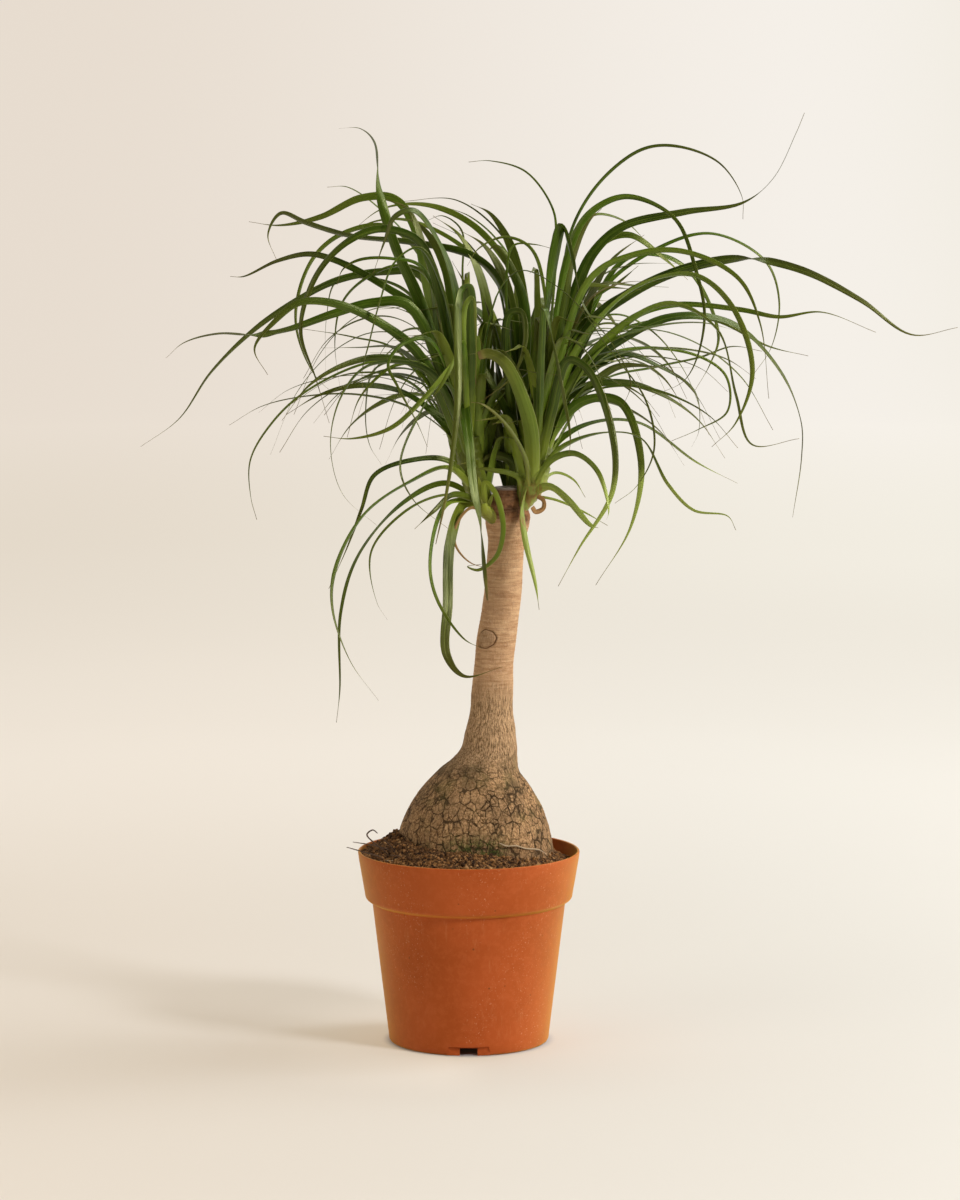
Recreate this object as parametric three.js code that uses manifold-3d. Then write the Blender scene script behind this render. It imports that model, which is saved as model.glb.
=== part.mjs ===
// Potted ponytail palm: a swollen foot and a cut-back trunk with three leafy heads, in a plastic nursery pot.
// Millimetres, +Z up. The origin is the middle of the pot's underside, and the front faces -Y.
import * as THREE from 'three';
import { mergeVertices } from 'three/addons/utils/BufferGeometryUtils.js';
import Module from 'manifold-3d';

const wasm = await Module();
wasm.setup();

// Pot: a round plastic nursery pot with a deep rim band
const POT_HEIGHT = 165;
const RIM_RADIUS = 95;
const BAND_HEIGHT = 42.5;
const BAND_FOOT_RADIUS = 89;
const BODY_TOP_RADIUS = 82.7;
const BODY_FOOT_RADIUS = 68.7;
const POT_WALL = 1.8;
const FOOT_CORNER = 3;
const POT_SIDES = 36;

// Drain outlets: raised tunnels under the floor that end in a slot in a shallow facet
const OUTLETS = 3;
const SLOT_WIDTH = 15;
const SLOT_HEIGHT = 6.5;
const TUNNEL_START = 27;
const FACET_HALF_WIDTH = 19;
const FACET_HEIGHT = 8;
const FACET_FACE = 66;

// Touching pieces keep this much room
const CLEARANCE = 0.3;

// Soil: peat crumbs near the rim at the left and lower at the right, banked up to the foot
const SOIL_EDGE = 158.5;
const SOIL_FALL = 5;
const SOIL_MOUND = 14.5;
const SOIL_TILT = 0.067;
const MOUND_TOP = 60;
const MOUND_FOOT = 90;
const SOIL_RINGS = [84, 76, 68, 58];

// Trunk, from the buried root ball to the cut top: height, centre X and half width
const TRUNK_ROWS = [
  [96, 6, 22], [104, 6, 44], [122, 6, 61], [142, 5.5, 66.5], [161, 5.5, 66.2], [181, 4.5, 63.4],
  [192, 4.5, 59.9], [202, 4.9, 56.1], [212, 5.3, 50.5], [223, 6.6, 43.2], [233, 7.9, 35.1], [244, 13.5, 27.9],
  [254, 17.3, 23.9], [266, 18.4, 21.9], [285, 19.4, 18.4], [306, 20.3, 17.5], [326, 21.5, 16.4], [346, 23.5, 16.8],
  [368, 26.6, 16.3], [388, 29.2, 16.2], [410, 30.6, 15.7], [432, 32.2, 15.9], [446, 33, 18.6], [455, 33, 18.4],
  [464, 32.5, 13.6], [477, 32, 11],
];
const TRUNK_STEPS = 30;
const TRUNK_SIDES = 24;
const TRUNK_FLATNESS = 0.95;
const KNOT = { x: 15, z: 346, radius: 7.2, stand: 1.6 };

// The photograph's eye point, for leaf points that are read where they show
const EYE = new THREE.Vector3(9.6, -3437, 775);

// Blades
const BLADE_THICK = 0.9;
const TIP_WIDTH = 1.3;
const SLENDER = 5.6;
const FINE_STEPS = 60;
const TURN_COST = 55;

// Leaf roots sit low on the shoot's axis, and its core ends among them
const ROOT_LOW = 0.1;
const ROOT_SPAN = 0.5;
const CORE_SHARE = 0.62;

// Shoots: the axis of each leafy head, with its thickness at the foot, the middle and the top
const SHOOTS = {
  left: { axis: [[17, 3, 452], [7, 6, 474], [1, 4, 502], [-5, 0, 540], [-9, -4, 586]], girth: [5.5, 10.5, 12] },
  back: { axis: [[36, 7, 464], [40, 17, 484], [42, 21, 512], [45, 23, 548], [48, 25, 584]], girth: [5, 9, 10.5] },
  right: { axis: [[44, -4, 458], [56, -8, 480], [59, -9, 508], [61, -9, 540], [64, -9, 574]], girth: [5, 10, 12] },
  bud: { axis: [[21, -11, 450], [15, -17, 458], [13, -19, 466], [13, -20, 476]], girth: [4.5, 5.5, 2] },
};

// Leaves as they show from the front: height on the shoot (0 to 1), width, depth of the tip from the shoot
// (minus is towards the eye), lean of the blade from facing the eye in degrees, then X, Z pairs to the tip
const LEFT_LEAVES = [
  [0.80, 8.5, -20, 20, -41, 633, -62, 680, -75, 727, -79, 768, -91, 779, -109, 779],
  [0.80, 9.0, 60, 25, -33, 640, -45, 696, -62, 720, -90, 721, -125, 705, -160, 698, -185, 701],
  [0.75, 9.0, -45, 60, -12, 645, -25, 683, -46, 710, -62, 705, -71, 684, -81, 656],
  [0.70, 4.0, -80, 30, -24, 650, -42, 679, -62, 667, -75, 633, -84, 599, -90, 575, -89, 556],
  [0.70, 8.0, -50, 30, -30, 660, -44, 686, -75, 695, -104, 683, -129, 655, -142, 610, -129, 568, -118, 531],
  [0.70, 5.0, 90, 40, -40, 672, -70, 697, -108, 690, -133, 667, -146, 619, -131, 573, -108, 551],
  [0.65, 8.0, 40, 25, -33, 618, -68, 645, -113, 669, -135, 674, -162, 668, -190, 655, -201, 655],
  [0.70, 6.0, 80, 30, -40, 655, -70, 659, -110, 652, -143, 636, -180, 611, -218, 574, -245, 535, -278, 511],
  [0.60, 10.0, -40, 20, -50, 630, -80, 633, -116, 623, -150, 611, -177, 606, -212, 607, -241, 599, -256, 586],
  [0.50, 2.0, 60, 30, -60, 592, -98, 604, -141, 611],
  [0.50, 9.5, -90, 35, -39, 585, -70, 613, -112, 632, -143, 633, -164, 617, -181, 594, -170, 572],
  [0.60, 3.0, 110, 40, -50, 640, -90, 654, -112, 650, -120, 620, -121, 568],
  [0.65, 3.0, -30, 30, -39, 662, -65, 670, -92, 669, -106, 661, -111, 648],
  [0.65, 4.0, 30, 45, -36, 656, -60, 664, -90, 651, -107, 632, -113, 600, -109, 562],
  [0.45, 2.5, -30, 30, -40, 572, -61, 585, -93, 580, -139, 557, -166, 532, -185, 500, -185, 469, -180, 449],
  [0.45, 4.5, -110, 35, -30, 572, -61, 583, -88, 578, -108, 553, -117, 513, -107, 471, -78, 444],
  [0.30, 7.5, -30, 20, -14, 523, -39, 547, -61, 559, -93, 563, -126, 555, -155, 538],
  [0.45, 2.0, 100, 30, -42, 560, -66, 572, -91, 574, -115, 569, -154, 545],
  [0.55, 3.0, -70, 40, -38, 580, -62, 580, -77, 570, -93, 551, -103, 519],
  [0.50, 3.0, 120, 40, -50, 582, -79, 577, -87, 543, -84, 513, -74, 496],
  [0.60, 3.0, -120, 40, -34, 602, -57, 597, -68, 581, -60, 562, -43, 530, -35, 511],
  [0.95, 5.0, -90, 20, 5, 604, -12, 583, -37, 553, -66, 527, -99, 518, -123, 520],
  [0.90, 4.0, -110, 40, -6, 600, -14, 580, -26, 559, -35, 548],
  [0.55, 3.0, -130, 40, -20, 565, -43, 536, -58, 494, -47, 466, -17, 441],
  [0.15, 4.0, -50, 30, -17, 499, -47, 500, -80, 487, -91, 458, -103, 426, -119, 390],
  [0.12, 5.5, -90, 25, -17, 493, -50, 481, -89, 453, -113, 408, -116, 374, -101, 328, -77, 294],
  [0.08, 4.5, 20, 30, -20, 480, -56, 463, -94, 418, -109, 369, -110, 303, -113, 275],
  [0.06, 2.5, 70, 40, -20, 470, -54, 456, -83, 421, -78, 378, -69, 363],
  [0.08, 5.0, -60, 20, -14, 470, -29, 457, -46, 441],
  [0.05, 9.5, -75, 25, -4, 464, -16, 430, -18, 377, -19, 334, -4, 315, 29, 323],
  [0.08, 3.5, -95, 30, -19, 462, -33, 414, -27, 381, -4, 347, 11, 339],
  [0.90, 7.0, -150, 15, 2, 638, -3, 645, -8, 618, -8, 557, -11, 519, -20, 465, -28, 428],
  [0.85, 4.0, -125, 25, -2, 632, 3, 637, 6, 611, 6, 564],
  [0.60, 7.0, -70, 25, -4, 548, 0, 516, 4, 476, 9, 450, 12, 409],
  [0.85, 2.0, 110, 30, -45, 678, -75, 712, -102, 730, -119, 730],
  [0.90, 2.0, 40, 30, -5, 657, -6, 694, -22, 706, -35, 702],
  [0.90, 3.0, -110, 40, 27, 645, 45, 660, 84, 639, 120, 592, 150, 550, 157, 508, 142, 477, 124, 463],
];
const BACK_LEAVES = [
  [0.90, 6.0, 60, 25, 46, 640, 28, 673, 0, 701, -35, 715, -72, 712, -100, 692],
  [0.90, 2.0, 90, 30, 49, 640, 30, 687, -10, 719, -57, 718],
  [0.85, 2.0, 75, 30, 38, 662, 22, 688, 0, 706, -22, 714],
  [0.60, 8.0, 0, 20, 28, 645, 5, 671, -45, 683, -100, 689, -137, 700, -158, 708, -169, 690, -162, 669],
  [0.70, 4.0, 110, 40, 30, 640, -5, 680, -50, 702, -80, 701, -107, 688],
  [0.80, 2.0, 50, 30, 24, 650, 7, 674, -6, 688, -30, 700],
  [0.80, 8.0, -12, 15, 47, 630, 37, 659, 23, 680, 15, 676],
  [0.70, 5.0, -80, 20, 33, 600, 35, 626, 45, 624, 48, 600, 36, 571, 10, 549],
  [0.80, 2.0, -35, 30, 32, 655, 38, 681, 55, 682, 72, 678],
];
const RIGHT_LEAVES = [
  [0.80, 9.5, -50, 70, 65, 600, 73, 676, 79, 697, 87, 672, 97, 630, 122, 597, 137, 565, 131, 546],
  [0.90, 2.0, 30, 30, 74, 690, 70, 714, 48, 743, 18, 752, 0, 751],
  [0.85, 3.0, -20, 30, 80, 660, 90, 702, 114, 738, 147, 762, 176, 764, 211, 750, 230, 722, 231, 703],
  [0.85, 8.0, 30, 25, 92, 647, 106, 676, 130, 697, 181, 709, 231, 717, 256, 737, 275, 775, 282, 792],
  [0.80, 5.0, -40, 40, 86, 680, 103, 709, 133, 722, 173, 704, 191, 662, 199, 617, 184, 569, 155, 554],
  [0.80, 4.0, 70, 40, 90, 680, 104, 706, 130, 702, 157, 676],
  [0.75, 6.0, 50, 20, 105, 676, 134, 690, 165, 670, 185, 652],
  [0.60, 8.0, -30, 25, 104, 615, 135, 640, 178, 660, 230, 670, 279, 661, 331, 635, 374, 606, 413, 612],
  [0.60, 3.0, 60, 30, 110, 640, 160, 679, 205, 691, 250, 668, 262, 635, 256, 596, 240, 571],
  [0.30, 5.0, 20, 25, 80, 560, 135, 618, 172, 631, 230, 627, 262, 621, 298, 625, 344, 608],
  [0.25, 6.5, -60, 35, 75, 545, 120, 605, 170, 632, 210, 610, 226, 555, 240, 513, 280, 518],
  [0.20, 9.0, -20, 30, 85, 560, 134, 604, 174, 621, 223, 615, 262, 577, 281, 534, 282, 502, 275, 451],
  [0.40, 4.0, 80, 30, 110, 598, 150, 616, 205, 619, 254, 596, 287, 588],
  [0.50, 6.0, -45, 65, 105, 590, 150, 611, 196, 616, 228, 609],
  [0.40, 6.5, -75, 40, 90, 590, 140, 645, 190, 656, 222, 630, 240, 575, 226, 531, 206, 511],
  [0.35, 5.0, 40, 40, 90, 560, 128, 589, 161, 579, 191, 558, 195, 525, 189, 511],
  [0.30, 2.5, 100, 30, 110, 565, 160, 579, 196, 587, 223, 596, 248, 592],
  [0.75, 4.0, 90, 40, 130, 668, 165, 672, 190, 655, 211, 605, 204, 581, 191, 558],
  [0.75, 5.0, -95, 35, 102, 652, 138, 673, 181, 676, 227, 654, 246, 616, 254, 552],
  [0.70, 3.0, 40, 30, 103, 647, 133, 664, 178, 666],
  [0.70, 3.0, 10, 30, 100, 629, 129, 652, 143, 664],
  [0.65, 3.0, -25, 30, 100, 633, 128, 649, 162, 651],
  [0.40, 2.5, 80, 30, 110, 585, 180, 592, 217, 572, 219, 541, 195, 526, 172, 516],
  [0.30, 7.0, -90, 45, 70, 540, 84, 584, 99, 578, 121, 526, 122, 473, 94, 425, 76, 392],
  [0.25, 8.0, -40, 40, 72, 525, 98, 550, 128, 549, 146, 500, 138, 444, 108, 393],
  [0.20, 5.5, 70, 25, 77, 516, 107, 532, 145, 531, 193, 498, 228, 480],
  [0.18, 4.5, -70, 30, 77, 509, 116, 523, 146, 518, 169, 479, 191, 457, 220, 452, 227, 440],
  [0.15, 5.0, -100, 35, 70, 500, 91, 505, 110, 489, 119, 456, 117, 449],
  [0.12, 2.5, 40, 30, 73, 489, 89, 483, 99, 468],
  [0.10, 6.5, -60, 25, 68, 477, 84, 466, 104, 444, 110, 442],
  [0.08, 2.5, -20, 30, 73, 466, 97, 456, 118, 444],
  [0.10, 6.5, -35, 15, 50, 476, 46, 456, 48, 433, 57, 393, 60, 372],
  [0.60, 5.0, -120, 30, 62, 600, 64, 628, 70, 605, 80, 555, 86, 520, 85, 503],
  [0.20, 9.5, -70, 15, 52, 523, 45, 550, 30, 581, 16, 586],
  [0.15, 5.0, -90, 25, 47, 504, 31, 531, 12, 547, 2, 549],
  [0.85, 4.0, -40, 35, 64, 640, 52, 679, 30, 688, 8, 678, -1, 664],
  [0.02, 3.5, -10, 40, 59, 467, 63, 461, 58, 455, 54, 459],
];
const BUD_LEAVES = [
  [0.60, 6.5, -8, 20, 15, 481, 21, 474, 28, 454, 29, 436, 23, 417, 8, 406, -1, 409, 11, 411],
  [0.20, 2.5, -9, 30, 2, 459, -11, 443, -11, 427, 2, 412, 26, 407],
  [0.80, 5.0, 2, 20, 10, 477, 8, 487],
  [0.50, 4.5, -2, 20, 19, 466, 21, 473],
];

// Leaves that the front view hides: how many, the first seed, the bearing of the first one and the spread of
// bearings in degrees (0 is +X, 90 is away from the eye), and the height on the shoot of the lowest and highest
const LEFT_FILL = { count: 9, seed: 11, from: 98, spread: 115, low: 0.3, high: 0.95 };
const BACK_FILL = { count: 12, seed: 37, from: 58, spread: 78, low: 0.25, high: 0.98 };
const RIGHT_FILL = { count: 8, seed: 71, from: -25, spread: 80, low: 0.3, high: 0.95 };

// Inner leaves, broad and nearly upright: how many, the first seed, the first bearing and the spread
const LEFT_INNER = { count: 12, seed: 211, from: 120, spread: 225 };
const BACK_INNER = { count: 7, seed: 337, from: 50, spread: 90 };
const RIGHT_INNER = { count: 10, seed: 471, from: -110, spread: 185 };

// A closed mesh as a solid that can be joined and cut
function solidOf(geometry) {
  const bare = geometry.clone();
  bare.deleteAttribute('normal');
  bare.deleteAttribute('uv');
  const merged = mergeVertices(bare, 1e-4);
  const mesh = new wasm.Mesh({
    numProp: 3,
    vertProperties: new Float32Array(merged.attributes.position.array),
    triVerts: new Uint32Array(merged.index.array),
  });
  mesh.merge();
  return new wasm.Manifold(mesh);
}

function pieceOf(solid, name, material) {
  const data = solid.getMesh();
  const geometry = new THREE.BufferGeometry();
  geometry.setAttribute('position', new THREE.BufferAttribute(new Float32Array(data.vertProperties), 3));
  geometry.setIndex(new THREE.BufferAttribute(new Uint32Array(data.triVerts), 1));
  geometry.computeVertexNormals();
  const piece = new THREE.Mesh(geometry, material);
  piece.name = name;
  return piece;
}

// A closed skin over rings of points, each ring counter-clockwise seen from the end that it leads to.
// The face named by split has its diagonals the other way, so that a thin blade's two faces are split alike.
function skin(rings, split = -1) {
  const sides = rings[0].length;
  const corners = rings.flat().flatMap((point) => [point.x, point.y, point.z]);
  const index = [];
  for (let ring = 0; ring < rings.length - 1; ring += 1) {
    for (let side = 0; side < sides; side += 1) {
      const a = ring * sides + side;
      const b = ring * sides + (side + 1) % sides;
      const c = b + sides;
      const d = a + sides;
      index.push(...(side === split ? [a, b, d, b, c, d] : [a, b, c, a, c, d]));
    }
  }
  const last = (rings.length - 1) * sides;
  for (let side = 1; side < sides - 1; side += 1) {
    index.push(0, side + 1, side, last, last + side, last + side + 1);
  }
  const geometry = new THREE.BufferGeometry();
  geometry.setAttribute('position', new THREE.Float32BufferAttribute(corners, 3));
  geometry.setIndex(index);
  return geometry;
}

// Seeded draws between 0 and 1
function drawsFrom(seed) {
  let state = seed;
  return () => {
    state = (state * 16807) % 2147483647;
    return state / 2147483647;
  };
}

function smooth(low, high, value) {
  return THREE.MathUtils.smoothstep(value, low, high);
}

// Pot
function potWall() {
  const bandFoot = POT_HEIGHT - BAND_HEIGHT;
  const chamfer = 4;
  const lip = 1.2;
  const outside = [
    [BODY_FOOT_RADIUS - FOOT_CORNER, 0],
    [BODY_FOOT_RADIUS - 0.8, 0.9],
    [BODY_FOOT_RADIUS, FOOT_CORNER],
    [BODY_TOP_RADIUS, bandFoot - 1.5],
    [BAND_FOOT_RADIUS - chamfer, bandFoot],
    [BAND_FOOT_RADIUS, bandFoot + chamfer],
    [RIM_RADIUS - 0.3, POT_HEIGHT - lip],
    [RIM_RADIUS - 0.9, POT_HEIGHT],
  ];
  const inside = [
    [RIM_RADIUS - POT_WALL - 0.1, POT_HEIGHT],
    [RIM_RADIUS - POT_WALL - 0.5, POT_HEIGHT - lip],
    [BAND_FOOT_RADIUS - POT_WALL, bandFoot + chamfer + 0.6],
    [BAND_FOOT_RADIUS - chamfer - 0.6, bandFoot + POT_WALL],
    [BODY_TOP_RADIUS - POT_WALL, bandFoot - 1],
    [BODY_FOOT_RADIUS - POT_WALL, FOOT_CORNER + 1],
    [BODY_FOOT_RADIUS - FOOT_CORNER - POT_WALL, POT_WALL],
  ];
  const profile = [[0, 0], ...outside, ...inside, [0, POT_WALL]];
  return new THREE.LatheGeometry(profile.map(([r, z]) => new THREE.Vector2(r, z)), POT_SIDES).rotateX(Math.PI / 2);
}

function block(x0, x1, y0, y1, z0, z1) {
  return new THREE.BoxGeometry(x1 - x0, y1 - y0, z1 - z0).translate((x0 + x1) / 2, (y0 + y1) / 2, (z0 + z1) / 2);
}

function pot() {
  let shell = solidOf(potWall());
  const wall = POT_WALL;
  const half = SLOT_WIDTH / 2;
  const backed = FACET_HALF_WIDTH - 1;
  const facet = new THREE.Shape([
    new THREE.Vector2(-FACET_HALF_WIDTH, -1),
    new THREE.Vector2(FACET_HALF_WIDTH, -1),
    new THREE.Vector2(FACET_HALF_WIDTH - 2, FACET_HEIGHT),
    new THREE.Vector2(2 - FACET_HALF_WIDTH, FACET_HEIGHT),
  ]);
  for (let outlet = 0; outlet < OUTLETS; outlet += 1) {
    const bearing = outlet * 2 * Math.PI / OUTLETS;
    const tunnelTop = SLOT_HEIGHT + wall;
    const tunnel = block(-half - wall, half + wall, -FACET_FACE, wall - TUNNEL_START, 0.5, tunnelTop);
    const backing = block(-backed, backed, -FACET_FACE, wall - FACET_FACE, 0.5, FACET_HEIGHT + wall);
    const passage = block(-half, half, -RIM_RADIUS, -TUNNEL_START, -1, SLOT_HEIGHT);
    const recess = new THREE.ExtrudeGeometry(facet, { depth: 20, bevelEnabled: false })
      .rotateX(Math.PI / 2).translate(0, -FACET_FACE, 0);
    for (const form of [tunnel, backing]) {
      shell = shell.add(solidOf(form.rotateZ(bearing)));
    }
    for (const form of [passage, recess]) {
      shell = shell.subtract(solidOf(form.rotateZ(bearing)));
    }
  }
  return shell;
}

// Trunk: rings round a leaning centre line, lumpy at the swollen foot
function trunkSkin(grown) {
  const rows = TRUNK_ROWS.map(([z, x, half]) => new THREE.Vector3(x, half, z));
  const line = new THREE.CatmullRomCurve3(rows);
  const rings = [];
  for (let step = 0; step <= TRUNK_STEPS; step += 1) {
    const at = line.getPointAt(step / TRUNK_STEPS);
    const foot = 1 - smooth(200, 270, at.z);
    const end = step === 0 ? -grown : (step === TRUNK_STEPS ? grown : 0);
    const ring = [];
    for (let side = 0; side < TRUNK_SIDES; side += 1) {
      const angle = side * 2 * Math.PI / TRUNK_SIDES;
      const lobes = 0.022 * Math.sin(3 * angle + 0.9) + 0.014 * Math.sin(5 * angle + at.z / 31);
      const ripple = 0.012 * Math.sin(2 * angle + at.z / 23);
      const radius = at.y * (1 + foot * lobes + ripple) + grown;
      ring.push(new THREE.Vector3(
        at.x + radius * Math.cos(angle),
        TRUNK_FLATNESS * radius * Math.sin(angle),
        at.z + end,
      ));
    }
    rings.push(ring);
  }
  return solidOf(skin(rings));
}

// The round scar of a lost side shoot, a low button with a dimple on the trunk's front
function knot() {
  const r = KNOT.radius;
  const profile = [[0, -6], [r, -6], [r, KNOT.stand - 0.9], [r - 1.6, KNOT.stand], [r - 3.4, KNOT.stand - 0.8]];
  profile.push([0, KNOT.stand - 1]);
  const points = profile.map(([x, y]) => new THREE.Vector2(x, y));
  const button = new THREE.LatheGeometry(points, 12).rotateX(Math.PI).rotateZ(-0.45);
  return solidOf(button.translate(KNOT.x, -14.2, KNOT.z));
}

// Soil: a bumpy top over a plain plug, open where the foot stands in it
function soilTop(x, y) {
  const r = Math.hypot(x, y);
  const edge = SOIL_EDGE - SOIL_FALL * x / RIM_RADIUS;
  const mound = (SOIL_MOUND - SOIL_TILT * x) * (1 - smooth(MOUND_TOP, MOUND_FOOT, r));
  const bumps = 1.2 * Math.sin(x / 7 + 1) * Math.sin(y / 6.2) + 0.7 * Math.sin((x + y) / 4.1);
  return edge + mound + bumps * (1 - smooth(80, 91, r));
}

function soil(trunkRoom) {
  const bandFoot = POT_HEIGHT - BAND_HEIGHT;
  const room = POT_WALL + CLEARANCE;
  const floor = SLOT_HEIGHT + POT_WALL + CLEARANCE;
  const bandSlope = (RIM_RADIUS - BAND_FOOT_RADIUS) / BAND_HEIGHT;
  const wall = [
    [FACET_FACE - POT_WALL - 3, floor],
    [BODY_FOOT_RADIUS - room - 0.6, FACET_HEIGHT + 2 * POT_WALL],
    [BODY_TOP_RADIUS - room, bandFoot - 1],
    [BAND_FOOT_RADIUS - room - 4.6, bandFoot + POT_WALL + CLEARANCE],
    [BAND_FOOT_RADIUS - room, bandFoot + 5.2],
  ];
  const circle = (place) => Array.from({ length: POT_SIDES }, (_, side) => {
    const angle = side * 2 * Math.PI / POT_SIDES;
    return place(Math.cos(angle), Math.sin(angle));
  });
  const rings = wall.map(([r, z]) => circle((cos, sin) => new THREE.Vector3(r * cos, r * sin, z)));
  rings.push(circle((cos, sin) => {
    const z = SOIL_EDGE - SOIL_FALL * cos;
    const r = BAND_FOOT_RADIUS - room - 0.4 + bandSlope * (z - bandFoot - 4);
    return new THREE.Vector3(r * cos, r * sin, z);
  }));
  for (const r of SOIL_RINGS) {
    rings.push(circle((cos, sin) => new THREE.Vector3(r * cos, r * sin, soilTop(r * cos, r * sin))));
  }
  return solidOf(skin(rings)).subtract(trunkRoom);
}

// A leaf point read in the front view, moved along its line of sight to its own depth
function seenAt(x, z, y) {
  const reach = (y - EYE.y) / -EYE.y;
  return new THREE.Vector3(EYE.x + (x - EYE.x) * reach, y, EYE.z + (z - EYE.z) * reach);
}

function rootAt(axis, height) {
  return axis.getPoint(ROOT_LOW + ROOT_SPAN * height);
}

// The route of a leaf that shows: its depth grows quickly at first, then more slowly, along the chord
function shownRoute(axis, leaf) {
  const [height, , depth, , ...flat] = leaf;
  const root = rootAt(axis, height);
  const seen = [];
  for (let at = 0; at < flat.length; at += 2) {
    seen.push([flat[at], flat[at + 1]]);
  }
  const run = [0];
  seen.forEach(([x, z], at) => {
    const [x0, z0] = at === 0 ? [root.x, root.z] : seen[at - 1];
    run.push(run[at] + Math.hypot(x - x0, z - z0));
  });
  const points = seen.map(([x, z], at) => {
    const part = run[at + 1] / run[run.length - 1];
    return seenAt(x, z, root.y + depth * part * (2 - part));
  });
  return [root, ...points];
}

// The route of a leaf that the front hides: up from the shoot, over and down, on one bearing
function hiddenRoute(axis, height, bearing, reach, rise, drop) {
  const root = rootAt(axis, height);
  const points = [root];
  const stations = 6;
  for (let station = 1; station <= stations; station += 1) {
    const part = station / stations;
    const out = reach * (0.4 * part + 0.6 * part * part * (3 - 2 * part));
    const up = 2.4 * rise * part - (2.4 * rise + drop) * part * part;
    points.push(new THREE.Vector3(
      root.x + out * Math.cos(bearing),
      root.y + out * Math.sin(bearing),
      root.z + up,
    ));
  }
  return points;
}

// The route of an inner leaf: nearly straight up, leaning out ever faster along its bearing
function uprightRoute(axis, height, bearing, reach, rise) {
  const root = rootAt(axis, height);
  const points = [root];
  const stations = 4;
  for (let station = 1; station <= stations; station += 1) {
    const part = station / stations;
    const out = reach * (0.3 * part + 0.7 * part * part);
    points.push(new THREE.Vector3(
      root.x + out * Math.cos(bearing),
      root.y + out * Math.sin(bearing),
      root.z + rise * (1.3 * part - 0.3 * part ** 3),
    ));
  }
  return points;
}

// Blade width along its length: a narrow root, widest a quarter along, then a long taper to a hair
function bladeWidth(width, part) {
  const root = 0.45 + 0.55 * smooth(0, 0.22, part);
  const taper = 1 - 0.2 * smooth(0.35, 0.7, part) - 0.8 * smooth(0.58, 1, part) ** 1.2;
  return Math.max(TIP_WIDTH, width * root * taper);
}

// A strap blade along its route. Its width starts across the given line and is carried without twisting,
// then turned by the lean, which grows along the leaf by the turn.
function blade(points, width, acrossLine, lean, turn) {
  const curve = new THREE.CatmullRomCurve3(points);
  const places = [];
  const costs = [0];
  let across = null;
  let before = null;
  for (let step = 0; step <= FINE_STEPS; step += 1) {
    const part = step / FINE_STEPS;
    const place = curve.getPoint(part);
    const along = curve.getTangent(part);
    across = across === null ? new THREE.Vector3().crossVectors(along, acrossLine) : across.clone();
    across.addScaledVector(along, -across.dot(along)).normalize();
    if (before !== null) {
      costs.push(costs[step - 1] + place.distanceTo(before.place) + TURN_COST * along.angleTo(before.along));
    }
    before = { place, along, across };
    places.push(before);
  }
  const slender = width < SLENDER;
  const steps = Math.max(5, Math.round(costs[FINE_STEPS] / (slender ? 84 : 68)));
  const rings = [];
  let fine = 0;
  for (let step = 0; step <= steps; step += 1) {
    const goal = costs[FINE_STEPS] * step / steps;
    while (fine < FINE_STEPS && costs[fine] < goal - 1e-6) {
      fine += 1;
    }
    const { place, along, across: carried } = places[fine];
    const part = fine / FINE_STEPS;
    const wide = carried.clone().applyAxisAngle(along, lean + turn * part);
    const normal = new THREE.Vector3().crossVectors(along, wide);
    const half = bladeWidth(width, part) / 2;
    const thick = BLADE_THICK / 2;
    const section = slender
      ? [[0, -2.4 * thick], [half, thick], [-half, thick]]
      : [[-half, -thick], [half, -thick], [half, thick], [-half, thick]];
    rings.push(section.map(([w, n]) => place.clone().addScaledVector(wide, w).addScaledVector(normal, n)));
  }
  return solidOf(skin(rings, slender ? -1 : 2));
}

// The shoot itself: a slim core of leaf bases that every leaf's root is sunk in
function shootCore(shoot, axis) {
  const sides = 8;
  const steps = 7;
  const girth = new THREE.CatmullRomCurve3(shoot.girth.map((value, at) => new THREE.Vector3(at, value, 0)));
  const rings = [];
  for (let step = 0; step <= steps; step += 1) {
    const part = step / steps;
    const centre = axis.getPoint(CORE_SHARE * part);
    const along = axis.getTangent(CORE_SHARE * part);
    const ahead = new THREE.Vector3().crossVectors(along, new THREE.Vector3(1, 0, 0)).normalize();
    const aside = new THREE.Vector3().crossVectors(ahead, along).normalize();
    const radius = girth.getPoint(part).y;
    const ring = [];
    for (let side = 0; side < sides; side += 1) {
      const angle = side * 2 * Math.PI / sides;
      ring.push(centre.clone()
        .addScaledVector(aside, radius * Math.cos(angle))
        .addScaledVector(ahead, radius * Math.sin(angle)));
    }
    rings.push(ring);
  }
  return solidOf(skin(rings));
}

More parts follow.
